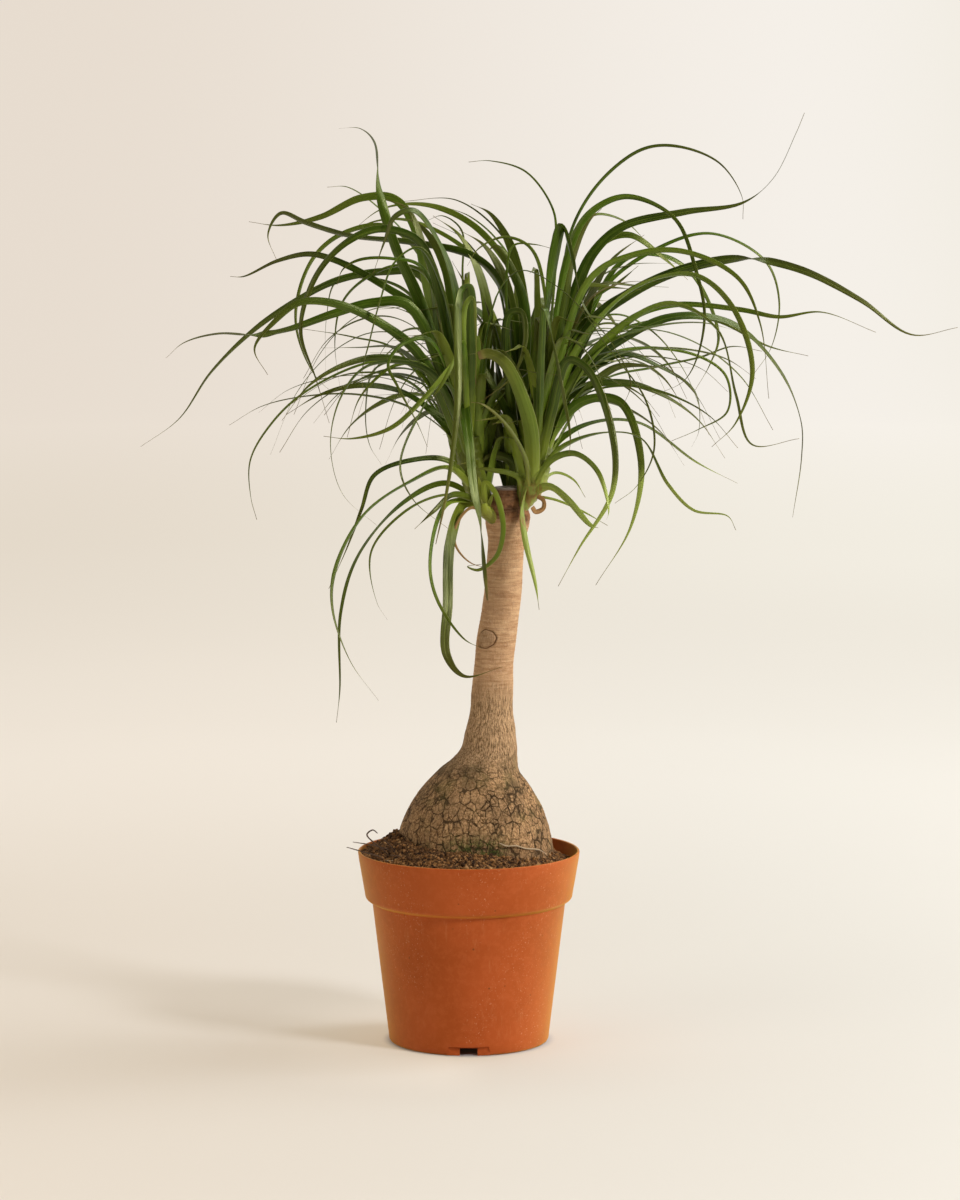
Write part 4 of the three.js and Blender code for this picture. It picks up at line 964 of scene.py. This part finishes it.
def shown_route(axis, leaf):
    """Points of a leaf that shows. Its depth runs from the shoot's to the tip's as 2t less t squared along
    the chords, and each point is moved along its line of sight to that depth."""
    root = leaf_root(axis, leaf[0])
    seen = np.array(leaf[4:], float).reshape(-1, 2)
    corners = np.vstack([root[[0, 2]], seen])
    run = np.cumsum(np.linalg.norm(np.diff(corners, axis=0), axis=1))
    share = run / run[-1]
    y = root[1] + leaf[2] * share * (2 - share)
    reach = (y + EYE_BACK) / EYE_BACK
    x = EYE_X + (seen[:, 0] - EYE_X) * reach
    z = EYE_HEIGHT + (seen[:, 1] - EYE_HEIGHT) * reach
    return np.vstack([root, np.stack([x, y, z], axis=-1)])


def hidden_route(axis, height, bearing, reach, rise, drop):
    """Points of a hidden leaf: out along its bearing, slowly and then faster, and up and over as a parabola,
    with a tip that swings out again."""
    share = np.arange(7) / 6
    swing = np.maximum(share - 0.5, 0) ** 2
    out = reach * (0.4 * share + 0.6 * share ** 2 * (3 - 2 * share)) + 45 * swing
    up = 2.4 * rise * share - (2.4 * rise + drop) * share ** 2 + 130 * swing
    return leaf_root(axis, height) + polar(out, bearing, up)


def upright_route(axis, height, bearing, reach, rise):
    """Points of an inner leaf: nearly straight up, leaning out ever faster along its bearing, with a tip that
    bends over."""
    share = np.arange(8) / 7
    droop = fade(0.68, 1, share)
    out = reach * (0.3 * share + 0.7 * share ** 2) + 18 * droop
    up = rise * (1.3 * share - 0.3 * share ** 3 - 0.2 * droop)
    return leaf_root(axis, height) + polar(out, bearing, up)


def set_leaves(count, seed, start, spread, numbers):
    """For each leaf of a set: its bearing, the line across it, and the rest of its drawn numbers."""
    for number in range(count):
        _, along, *rest = draws(seed + SET_SEED_STEP * number, numbers)
        bearing = math.radians(start + spread * (number + 0.5 * along) / count)
        yield bearing, (-math.sin(bearing), math.cos(bearing), 0), rest


def head_leaves(axis, leaves, close, fill, inner, looks):
    """The curves, widths, leans, turns and looks of all leaves of a head, the shown ones first. A look is
    the tint from dark to pale, how dry the blade is, and how yellow its root is."""
    share = np.linspace(0, 1, LEAF_STEPS)
    rows = []
    for number, leaf in enumerate(leaves):
        turn, tint, root = draws(SHOWN_SEED + SEED_STEP * number + len(leaves), 3)
        lean = math.radians(leaf[3]) * (1 if number % 2 == 0 else -1)
        look = looks.get(number, (0.15 + 0.6 * tint, 0, 0.35 + 0.5 * root))
        rows.append((shown_route(axis, leaf), leaf[1], (0, 1, 0), lean, math.radians(50 * turn - 25), look))
    for number, leaf in enumerate(close):
        turn, tint, root = draws(CLOSE_SEED + SEED_STEP * number, 3)
        look = looks.get(CLOSE_LOOKS + number, (0.1 + 0.8 * tint, 0, 0.3 + 0.4 * root))
        lean = math.radians(leaf[3])
        rows.append((shown_route(axis, leaf), leaf[1], (0, 1, 0), lean, math.radians(50 * turn - 25), look))
    for *bearings, low, high, near, far, drop, fall, slim, broad in fill:
        for bearing, side, (up, out, lift, down, wide, twist, tint) in set_leaves(*bearings, 9):
            height = low + (high - low) * up
            rise = 65 + 80 * height * lift + 60 * height
            route = hidden_route(axis, height, bearing, near + far * out, rise, drop + fall * down)
            turn, look = math.radians(140 * twist - 70), (0.1 + 0.6 * tint, 0, 0.4)
            rows.append((route, slim + broad * wide, side, math.pi / 2, turn, look))
    for *bearings, low, high, near, far, short, tall, slim, broad in inner:
        for bearing, side, (up, out, lift, wide, twist, tint) in set_leaves(*bearings, 8):
            route = upright_route(axis, low + high * up, bearing, near + far * out, short + tall * lift)
            # Inner leaves take paler tints than the other hidden ones, as painted light that shines through
            # their blades.
            turn, look = math.radians(80 * twist - 40), (0.15 + 0.95 * tint, 0, 0.5)
            rows.append((route, slim + broad * wide, side, math.pi / 2, turn, look))
    curves = np.array([spline(row[0], share) for row in rows])
    widths, lines, leans, turns, looks = (np.array([row[field] for row in rows]) for field in range(1, 6))
    return curves, widths, lines, leans, turns, looks


def unit(vectors):
    """Vectors at length 1."""
    return vectors / np.linalg.norm(vectors, axis=-1, keepdims=True)


def width_lines(along, lines):
    """The width line of each leaf at each step: the one before it, pulled a little to lie across the given
    line, less its part along the leaf."""
    across = np.empty_like(along)
    carried = np.cross(along[:, 0], lines)
    for step in range(along.shape[1]):
        ahead = along[:, step]
        carried = carried + PULL * np.cross(ahead, lines)
        carried = unit(carried - ahead * np.sum(carried * ahead, axis=-1, keepdims=True))
        across[:, step] = carried
    return across


def blades(curves, widths, lines, leans, turns, looks, faced=(), rolls=(), hairs=()):
    """Strap leaves on grids of leaf, step and section corner. The width line is turned by the lean, the
    growing turn and slow noise, less so in the faced leaves, and by the rolls, as (leaf, share of the length,
    spread, degrees). A leaf thins to a hair at its end, or at the share that hairs gives. The section is a V
    with a fine crease."""
    count = len(curves)
    along = unit(np.gradient(curves, axis=1))
    paces = np.linalg.norm(np.diff(curves, axis=1), axis=-1)
    length = np.concatenate([np.zeros((count, 1)), np.cumsum(paces, axis=1)], axis=1)
    across = width_lines(along, lines)
    share = np.linspace(0, 1, LEAF_STEPS)[None]
    loose = np.ones(count)
    loose[list(faced)] = 0.15
    angle = (leans[:, None] + turns[:, None] * share) * loose[:, None]
    for leaf, place, spread, roll in rolls:
        angle[leaf] += math.radians(roll) * fade(place - spread, place + spread, share[0])
    number = np.arange(count)[:, None] + 0 * share

    def along_each(size, apart, **more):
        """Noise along the leaves, with each leaf so far from the one before that they differ."""
        return clouds(np.stack([length / size, number * apart, 0 * length], axis=-1), 1, **more)

    wobble = along_each(24, 7.7, seed=91, octaves=2)
    sway = along_each(95, 5.3, seed=97)
    angle = angle + 0.12 * wobble + 1.0 * sway * fade(30, 120, length) * loose[:, None]
    wide = across * np.cos(angle)[..., None] + np.cross(along, across) * np.sin(angle)[..., None]
    normal = np.cross(along, wide)
    early = normal[:, : int(0.55 * normal.shape[1]), 2].mean(axis=1)
    flip = np.where(early < 0, -1.0, 1.0)[:, None, None]
    reach = np.ones((count, 1))
    for leaf, place in hairs:
        reach[leaf] = place
    run = share / reach
    narrowing = 0.3 * fade(0.08, 0.42, run) + 0.2 * fade(0.35, 0.7, run) + 0.8 * fade(0.58, 1, run) ** 1.1
    taper = 1.3 - narrowing
    clasp = 0.85 + 0.15 * fade(0, 60, length)
    ragged = 1 + 0.05 * along_each(9, 3.1, seed=93, octaves=2)
    half = np.maximum(HAIR, widths[:, None] * taper * clasp * ragged) / 2
    w = half[..., None] * SECTION_SIDE
    bend = (0.46 - 0.20 * fade(0, 80, length) - 0.12 * share)[..., None]
    soft = 0.04 * half[..., None]
    channel = bend * (np.sqrt(w ** 2 + soft ** 2) - soft) - 0.30 * bend * half[..., None]
    thick = LEAF_THICK * (1.25 - 0.7 * share)[..., None] * np.minimum(1, half[..., None] / 0.8)
    lift = flip * channel + thick / 2 * SECTION_FACE
    points = curves[:, :, None] + wide[:, :, None] * w[..., None] + normal[:, :, None] * lift[..., None]
    corners = len(SECTION_SIDE)
    last = (LEAF_STEPS - 1) * corners
    one = np.concatenate([ring_quads(LEAF_STEPS, corners), SECTION_END, last + SECTION_END[:, ::-1]])
    faces = (one[None] + np.arange(count)[:, None, None] * LEAF_STEPS * corners).reshape(-1, 4)
    tint, dry, yellow = (looks[:, None, None, channel] for channel in range(3))
    leaf = np.stack(np.broadcast_arrays(share[..., None] + 0 * w, tint, dry, yellow), axis=-1)
    beside = 10.0 * number[..., None]
    strap = np.stack(np.broadcast_arrays(w, length[..., None], beside, np.abs(SECTION_SIDE)), axis=-1)
    return points.reshape(-1, 3), faces, leaf.reshape(-1, 4), strap.reshape(-1, 4)


def shoot_core(shoot, look):
    """The stem: a tube round the shoot's axis, in leaf bases that swell as a saw tooth, all with one look."""
    axis, girth = shoot
    share = np.linspace(0, 1, CORE_STEPS)
    centre = spline(axis, CORE_SHARE * share)
    along = unit(np.gradient(centre, axis=0))
    ahead = unit(np.cross(along, [1.0, 0, 0]))
    aside = np.cross(ahead, along)
    girths = spline([[at, value, 0] for at, value in enumerate(girth)], share)[:, 1]
    angle = around(CORE_SIDES)
    tooth = (share[:, None] * LEAF_BASES + angle / (2 * np.pi) * 2) % 1
    radius = girths[:, None] * (0.97 + 0.10 * tooth)
    ring = aside[:, None] * np.cos(angle)[:, None] + ahead[:, None] * np.sin(angle)[:, None]
    points = centre[:, None] + ring * radius[..., None]
    whole, faces = capped(points, [centre[0], centre[-1]])
    leaf = np.tile([0.0, *look], (len(whole), 1))
    x, y, z = whole.T
    strap = np.stack([x, z - SHOOT_FOOT, y, 0 * x + 0.5], axis=-1)
    return whole, faces, leaf, strap


def leafy_head(name, shoot, tables, looks, finish_material, faced=(), rolls=(), hairs=()):
    """One head: the stem and all its leaves in one mesh, with the two attributes that the finish reads. The
    tables are the shown leaves, the close ones, the hidden sets and the inner sets."""
    core, core_faces, core_leaf, core_strap = shoot_core(shoot, looks.get("stem", (0.25, 0.1, 0.35)))
    points, faces, leaf, strap = blades(*head_leaves(shoot[0], *tables, looks), faced, rolls, hairs)
    corners, all_faces = np.concatenate([core, points]), [*core_faces, faces + len(core)]
    piece = make_piece(name, corners, all_faces, finish_material)
    add_attribute(piece, "leaf", np.concatenate([core_leaf, leaf]))
    add_attribute(piece, "strap", np.concatenate([core_strap, strap]))
    return piece


def leaf_finish(name, deep, middle, pale, root_tone):
    """Waxy green with fine lengthwise veins, a paler channel, tan edges, a yellow-green root, torn brown
    scraps beside the cut, and a tip that goes from yellow to brown."""
    paint = Paint(name, Specular_IOR_Level=0.42, Specular_Tint=(0.95, 1.0, 0.50, 1))
    here = paint.place()
    x, _, z = paint.axes(here)
    share, tint, dry, yellow = paint.attribute("leaf")
    strap = paint.add("ShaderNodeAttribute", {"attribute_name": "strap"}, None, out="Vector")
    _, along, _ = paint.axes(strap)
    side = Value(paint, strap.socket.node.outputs["Alpha"])
    veins = paint.noise(strap, (1.5, 0.010, 1), rough=0.7)
    streaks = paint.noise(strap, (0.55, 0.012, 1))
    blotch = paint.noise(here, 38)
    shreds = paint.noise(here, (330, 330, 70), detail=4, rough=0.7)
    shade = tint + (blotch - 0.5) * 0.55 + (streaks - 0.5) * 0.35
    older = paint.ramp(share + (blotch - 0.5) * 0.3, 0.25, 0.85)
    base = (1 - paint.ramp(along + (blotch - 0.5) * 30, 18, 78)) * yellow
    sheath = paint.ramp(x, 0.041, 0.047) * (1 - paint.ramp(z + (streaks - 0.5) * 0.02, 0.478, 0.500))
    beside_cut = paint.ramp(x, 0.040, 0.045) * (1 - paint.ramp(x, 0.064, 0.068)) * paint.ramp(z, 0.442, 0.448)
    torn = paint.ramp(shreds, 0.50, 0.56) * beside_cut * (1 - paint.ramp(z, 0.474, 0.488))
    # The first few millimetres of each blade are darkened: partly its brown base, partly painted shade where
    # the blades crowd round the stem.
    foot = 1 - paint.ramp(along + (streaks - 0.5) * 12, 2, 15)
    end = share + (blotch - 0.5) * 0.10 + (streaks - 0.5) * 0.06
    fleck = paint.ramp(paint.noise(strap, (0.9, 0.22, 1), detail=2), 0.70, 0.76)
    green = paint.coats(
        paint.tones(shade, (0.0, deep), (0.5, middle), (1.0, pale)),
        (paint.ramp(veins, 0.50, 0.68) * 0.40, pale),
        ((1 - paint.ramp(side, 0.0, 0.22)) * 0.20, pale),
        (paint.ramp(side, 0.90, 1.0) * 0.40, (0.25, 0.20, 0.060)),
        (older * 0.55, (0.090, 0.076, 0.014)),
        (base * 0.8, root_tone),
        (sheath * 0.7, (0.34, 0.42, 0.085)),
        (torn * 0.75, paint.mix(streaks, (0.16, 0.065, 0.020), (0.46, 0.22, 0.07))),
        (foot * 0.55, (0.10, 0.060, 0.022)),
        (paint.ramp(end, 0.84, 0.93) * 0.40, (0.26, 0.21, 0.06)),
        (paint.ramp(end, 0.91, 0.98) * 0.80, (0.13, 0.080, 0.030)),
        (fleck * 0.4, (0.15, 0.10, 0.030)),
        (dry, paint.mix(streaks, (0.17, 0.070, 0.022), (0.50, 0.27, 0.110))),
    )
    rough = 0.23 + 0.18 * blotch + 0.3 * dry + 0.18 * paint.ramp(share, 0.88, 1.0)
    return paint.finish(Base_Color=green, Roughness=rough, Normal=paint.relief((veins, 0.00030, 0.6)))


LEAF_FINISH = leaf_finish("leaf_finish", (0.011, 0.027, 0.001), (0.050, 0.102, 0.003),
                          (0.185, 0.255, 0.024), (0.30, 0.37, 0.035))
# Looks of single leaves by their number, and from 100 on of the close ones: tint, dryness, yellow root
# Left leaf 31 has a low tint as painted shade, for its rising part that stands in shade.
LEFT_LOOKS = {
    0: (0.45, 0, 0.5), 4: (0.25, 0, 0.5), 8: (0.35, 0, 0.5), 10: (0.30, 0, 0.4), 21: (0.85, 0, 0.9),
    24: (0.05, 0, 0.6), 25: (0.50, 0, 1), 28: (0.0, 0, 0.4), 29: (0.02, 0.03, 0.6), 31: (0.30, 0, 0.7),
    32: (0.85, 0, 0.8),
}
# Back leaf 7 and the close leaves 105 and 107 to 110 have dark tints as painted shade, in the shaded middle
# of the back head.
BACK_LOOKS = {
    0: (0.80, 0, 0.6), 3: (0.25, 0, 0.4), 7: (0.20, 0, 0.2), 105: (0.0, 0, 0.1), 107: (0.0, 0, 0.1),
    108: (0.1, 0, 0.1), 109: (0.0, 0, 0.1), 110: (0.05, 0, 0.1),
}
RIGHT_LOOKS = {
    0: (0.35, 0, 0.5), 3: (0.10, 0, 0.4), 6: (0.75, 0, 0.6), 7: (0.10, 0, 0.4), 21: (0.3, 0.25, 0),
    24: (0.40, 0, 0.8), 29: (0.45, 0, 0.8), 33: (0.60, 0.05, 0.6), 34: (0.35, 0.12, 0.5), 36: (0.2, 1, 0),
}
LEFT_TABLES = (LEFT_LEAVES, LEFT_CLOSE, LEFT_FILL, LEFT_INNER)
left_head = leafy_head("left_leaves", LEFT_SHOOT, LEFT_TABLES, LEFT_LOOKS, LEAF_FINISH,
                       faced=(10, 21, 29, 31, 32, 33), rolls=[(0, 0.50, 0.12, 62), (8, 0.62, 0.07, 160)],
                       hairs=[(31, 1.08), (33, 1.15)])
belongs(left_head, "leaf", "left_head")
BACK_TABLES = (BACK_LEAVES, BACK_CLOSE, BACK_FILL, BACK_INNER)
back_head = leafy_head("back_leaves", BACK_SHOOT, BACK_TABLES, BACK_LOOKS, LEAF_FINISH, faced=(6, 7))
belongs(back_head, "leaf", "back_head")
RIGHT_TABLES = (RIGHT_LEAVES, RIGHT_CLOSE, RIGHT_FILL, RIGHT_INNER)
right_head = leafy_head("right_leaves", RIGHT_SHOOT, RIGHT_TABLES, RIGHT_LOOKS, LEAF_FINISH,
                        faced=(3, 7, 23, 24, 29, 31, 32, 33), rolls=[(7, 0.52, 0.07, 170)],
                        hairs=[(3, 0.74), (11, 1.1), (33, 1.4), (36, 1.5)])
belongs(right_head, "leaf", "right_head")


# Bud shoot. A young pale green bud that has broken through the bark at the trunk's left front, just under
# the cut. It carries two narrow leaves and two short stubs.
BUD_LEAVES = [
    [0.60, 4.8, -10, 20, 14, 480, 21, 474, 28, 454, 29, 436, 23, 417, 8, 406, -1, 409, 11, 411],
    [0.20, 2.5, -9, 30, 2, 459, -11, 443, -11, 427, 2, 412, 26, 407],
    [0.80, 5.0, 2, 20, 10, 477, 8, 487],
    [0.50, 4.5, -2, 20, 19, 466, 21, 473],
]
BUD_SHOOT = ([[21, -11, 450], [15, -17, 458], [13, -19, 466], [13, -20, 476]], [4.5, 5.5, 2])
YOUNG_FINISH = leaf_finish("young_leaf_finish", (0.030, 0.060, 0.005), (0.105, 0.170, 0.012),
                           (0.30, 0.38, 0.055), (0.32, 0.35, 0.035))
BUD_LOOKS = {"stem": (1.0, 0, 1.0), 0: (0.5, 0, 0.6), 1: (0.3, 0.85, 0), 2: (0.6, 0, 0.6), 3: (0.6, 0, 0.6)}
bud = leafy_head("bud_leaves", BUD_SHOOT, (BUD_LEAVES, [], [], []), BUD_LOOKS, YOUNG_FINISH, faced=(0, 1))
belongs(bud, "young_leaf", "bud_shoot")


# Threads. Dead root ends and dry straws, as thin as hair, that stick out of the soil or lie on it where they
# were dropped.
THREAD_SIDES = 6
THREAD_STEPS = 26


def threads(routes, radii):
    """A thin tube along each route, which narrows to its closed ends as the square root of a sine."""
    share = np.linspace(0, 1, THREAD_STEPS)
    angle = around(THREAD_SIDES)
    no_route = [0.31, 0.92, 0.24]
    points, faces, first = [], [], 0
    for route, radius in zip(routes, radii):
        centre = spline(route, share)
        along = unit(np.gradient(centre, axis=0))
        aside = unit(np.cross(along, no_route))
        ahead = np.cross(along, aside)
        ring = aside[:, None] * np.cos(angle)[:, None] + ahead[:, None] * np.sin(angle)[:, None]
        thin = radius * (0.25 + 0.75 * np.sqrt(np.sin(np.pi * (0.06 + 0.88 * share))))
        tube, tube_faces = capped(centre[:, None] + ring * thin[:, None, None], centre[[0, -1]])
        points.append(tube)
        faces.extend(first + part for part in tube_faces)
        first += len(tube)
    return np.concatenate(points), faces


def thread_finish(name, dark, light):
    """Dry fibre, mottled along its length."""
    paint = Paint(name, Roughness=0.85)
    mottle = paint.noise(paint.place(), 240)
    fibre = paint.mix(mottle, dark, light)
    return paint.finish(Base_Color=fibre, Normal=paint.relief((mottle, 0.0002, 0.6)))


ROOT_ROUTES = [
    [[-64, -38, 160], [-70, -42, 170], [-79, -45, 178], [-86, -46, 186], [-81, -46, 190], [-77, -45, 187]],
    [[-60, -30, 162], [-68, -36, 171], [-82, -40, 176], [-98, -42, 179]],
    [[-66, -44, 160], [-76, -50, 168], [-88, -52, 172], [-103, -50, 176]],
    [[-58, -40, 162], [-66, -46, 176], [-72, -50, 183]],
    [[-52, -46, 160], [-57, -52, 168], [-66, -55, 170]],
]
roots = make_piece("root_ends", *threads(ROOT_ROUTES, [0.7, 0.55, 0.6, 0.5, 0.5]),
                   thread_finish("root_finish", (0.030, 0.016, 0.008), (0.12, 0.062, 0.030)))
belongs(roots, "peat_soil")
STRAW_ROUTES = [
    [[-77, -43, 160], [-72, -49, 164], [-64, -54, 165]],
    [[-71, -53, 160], [-65, -57, 162.5], [-57, -61, 162]],
    [[6, -66, 163], [20, -64, 164.5], [34, -60, 162]],
    [[-30, -74, 161], [-22, -72, 163], [-12, -74, 161]],
    [[60, -52, 157], [66, -44, 159], [70, -34, 157]],
    [[-50, -66, 161], [-44, -70, 163], [-37, -72, 161]],
    [[26, -59.5, 181], [32, -56, 178], [40, -52.2, 177.5], [48, -46, 174], [59, -34, 171], [66, -22, 165]],
]
straws = make_piece("straw_fibres", *threads(STRAW_ROUTES, [0.6, 0.5, 0.4, 0.35, 0.4, 0.4, 0.8]),
                    thread_finish("straw_finish", (0.24, 0.16, 0.08), (0.52, 0.40, 0.25)))
belongs(straws, "peat_soil")


# Room. A wide floor of cream card that curves up, far off, into a round wall of the same card. The far part
# is seen, but throws no light on the plant. Soft lamps stand round it, and the air glows from behind.
CARD_RADIUS = 2000
WALL_RADIUS = 9000
BEND_RADIUS = 1500
WALL_TOP = 4000
CARD_SIDES = 96


def card_rings(low, high, rows):
    """Rings of the card between two lengths along its profile: flat, a quarter circle, then upright."""
    flat = WALL_RADIUS - BEND_RADIUS
    run = np.linspace(low, high, rows)
    turn = np.clip((run - flat) / BEND_RADIUS, 0, np.pi / 2)
    r = np.minimum(run, flat) + BEND_RADIUS * np.sin(turn)
    z = BEND_RADIUS * (1 - np.cos(turn)) + np.maximum(0, run - flat - BEND_RADIUS * np.pi / 2)
    rings = polar(r[:, None], around(CARD_SIDES), z[:, None])
    return rings.reshape(-1, 3), [ring_quads(rows, CARD_SIDES)]


def card_finish():
    """Matt cream card with hardly any mottle, which glows as a lit backdrop does: little by the pot, where
    the lamps light it, and by itself far off and under the lamps, where it reflects nothing.
    The glow holds painted light and shade: it is brighter at the right, towards the lamps, warmer at the
    left, stronger in the pot's shadow at its left, and dark under the pot as a painted shadow."""
    paint = Paint("card_finish", Roughness=0.9, Specular_IOR_Level=0.1, Emission_Strength=1.0)
    here = paint.place()
    x, _, _ = paint.axes(here)
    level = paint.stretch(here, (1, 1, 0))
    away = paint.add("ShaderNodeVectorMath", {"operation": "LENGTH"}, {0: level}, out="Value")
    far_off = paint.ramp(away, 0.6, 4.2)
    by_lamps = paint.ramp(x, 0.9, 1.9)
    unlit, right_tone = (0.004, 0.004, 0.004), (0.870, 0.830, 0.740)
    cloud = paint.noise(here, 1.6, detail=2)
    card = paint.mix(cloud, (0.45, 0.460, 0.475), (0.47, 0.480, 0.495))
    card = paint.coats(card, (far_off, unlit), (by_lamps, unlit))
    # Painted light and shade: the glow grows brighter towards +X, where the lamps stand, and warmer at the
    # left, on the shadow side.
    near = paint.mix(paint.ramp(x, -0.45, 0.45), (0.300, 0.205, 0.095), (0.260, 0.210, 0.122))
    middle = paint.mix(paint.ramp(x, -1.0, 1.0), (0.755, 0.675, 0.570), right_tone)
    far = paint.mix(paint.ramp(x, -1.4, 1.4), (0.800, 0.716, 0.625), (0.920, 0.878, 0.820))
    # Painted light: more glow in the pot's shadow at its left, lifting that shade.
    shadow_lift_left_of_pot = (1 - paint.ramp(away, 0.08, 0.24)) * (1 - paint.ramp(x, -0.03, 0.03))
    lift = paint.ramp(away, 0.3, 1.8) * (1 - paint.ramp(away, 2.2, 4.4))
    glow = paint.coats(
        near,
        (shadow_lift_left_of_pot, (0.38, 0.30, 0.19)),
        (far_off, middle),
        (paint.ramp(away, 4.2, 9.0), far),
        (lift * 0.20, (1.10, 1.04, 0.95)),
        (by_lamps, right_tone),
    )
    # Painted shadow: no glow under the pot, fading in just past its foot.
    glow = paint.mix(paint.ramp(away, 0.0635, 0.076), (0.004, 0.003, 0.002), glow)
    return paint.finish(Base_Color=card, Emission_Color=glow)


CARD_FINISH = card_finish()
make_piece("cream_card", *card_rings(1, CARD_RADIUS, 60), CARD_FINISH)
surround = make_piece("far_card", *card_rings(CARD_RADIUS, WALL_RADIUS + WALL_TOP, 120), CARD_FINISH)
surround.visible_diffuse = False
surround.visible_glossy = False


def lamp(name, place, aim, size, power, tone):
    """A flat soft light that faces its aim and isn't seen itself. Places and sizes are in metres."""
    light = bpy.data.lights.new(name, "AREA")
    light.shape = "RECTANGLE"
    light.size, light.size_y = size
    light.energy = power
    light.color = tone
    holder = bpy.data.objects.new(name, light)
    holder.location = place
    line = np.subtract(aim, place)
    flat = math.hypot(line[0], line[1])
    holder.rotation_euler = (math.atan2(flat, -line[2]), 0, math.atan2(-line[0], line[1]))
    holder.visible_camera = False
    bpy.context.scene.collection.objects.link(holder)


lamp("key", (2.0, -1.5, 1.75), (0.02, 0, 0.35), (0.6, 0.6), 58, (1.0, 0.97, 0.94))
lamp("window", (2.4, 0.3, 1.0), (0, 0, 0.45), (1.6, 1.8), 30, (1.0, 0.98, 0.95))
lamp("fill", (-2.3, -1.6, 1.4), (0, 0, 0.35), (1.6, 1.6), 18, (1.0, 0.93, 0.80))
lamp("top", (1.3, 0.6, 3.0), (0.7, 2.4, 1.2), (2.2, 0.8), 52, (0.94, 0.98, 1.0))


def room_air():
    """Light from all round, weak from the front and strong from behind."""
    world = bpy.data.worlds.new("room_air")
    world.use_nodes = True
    tree = world.node_tree
    sky = tree.nodes.new("ShaderNodeTexCoord")
    apart = tree.nodes.new("ShaderNodeSeparateXYZ")
    depth = tree.nodes.new("ShaderNodeMapRange")
    depth.interpolation_type = "SMOOTHSTEP"
    for socket, value in (("From Min", -0.75), ("From Max", 0.55), ("To Min", 0.06), ("To Max", 0.70)):
        depth.inputs[socket].default_value = value
    background = tree.nodes["Background"]
    background.inputs["Color"].default_value = (1.0, 0.95, 0.88, 1)
    tree.links.new(sky.outputs["Generated"], apart.inputs[0])
    tree.links.new(apart.outputs["Y"], depth.inputs["Value"])
    tree.links.new(depth.outputs[0], background.inputs["Strength"])
    return world


bpy.context.scene.world = room_air()
bpy.context.scene.view_settings.view_transform = "Standard"

# Camera. It stands at the photograph's place and height and looks down a little, with the photograph's angle
# of view in a frame of 960 by 1200.
FRAME_HEIGHT = 1200
FOCAL_PIXELS = 4065
EYE_DOWN = 6.55
lens = bpy.data.cameras.new("eye")
lens.sensor_width = 36
lens.lens = FOCAL_PIXELS * lens.sensor_width / FRAME_HEIGHT
eye = bpy.data.objects.new("eye", lens)
eye.location = (EYE_X * MM, -EYE_BACK * MM, EYE_HEIGHT * MM)
eye.rotation_euler = (math.radians(90 - EYE_DOWN), 0, 0)
bpy.context.scene.collection.objects.link(eye)
bpy.context.scene.camera = eye
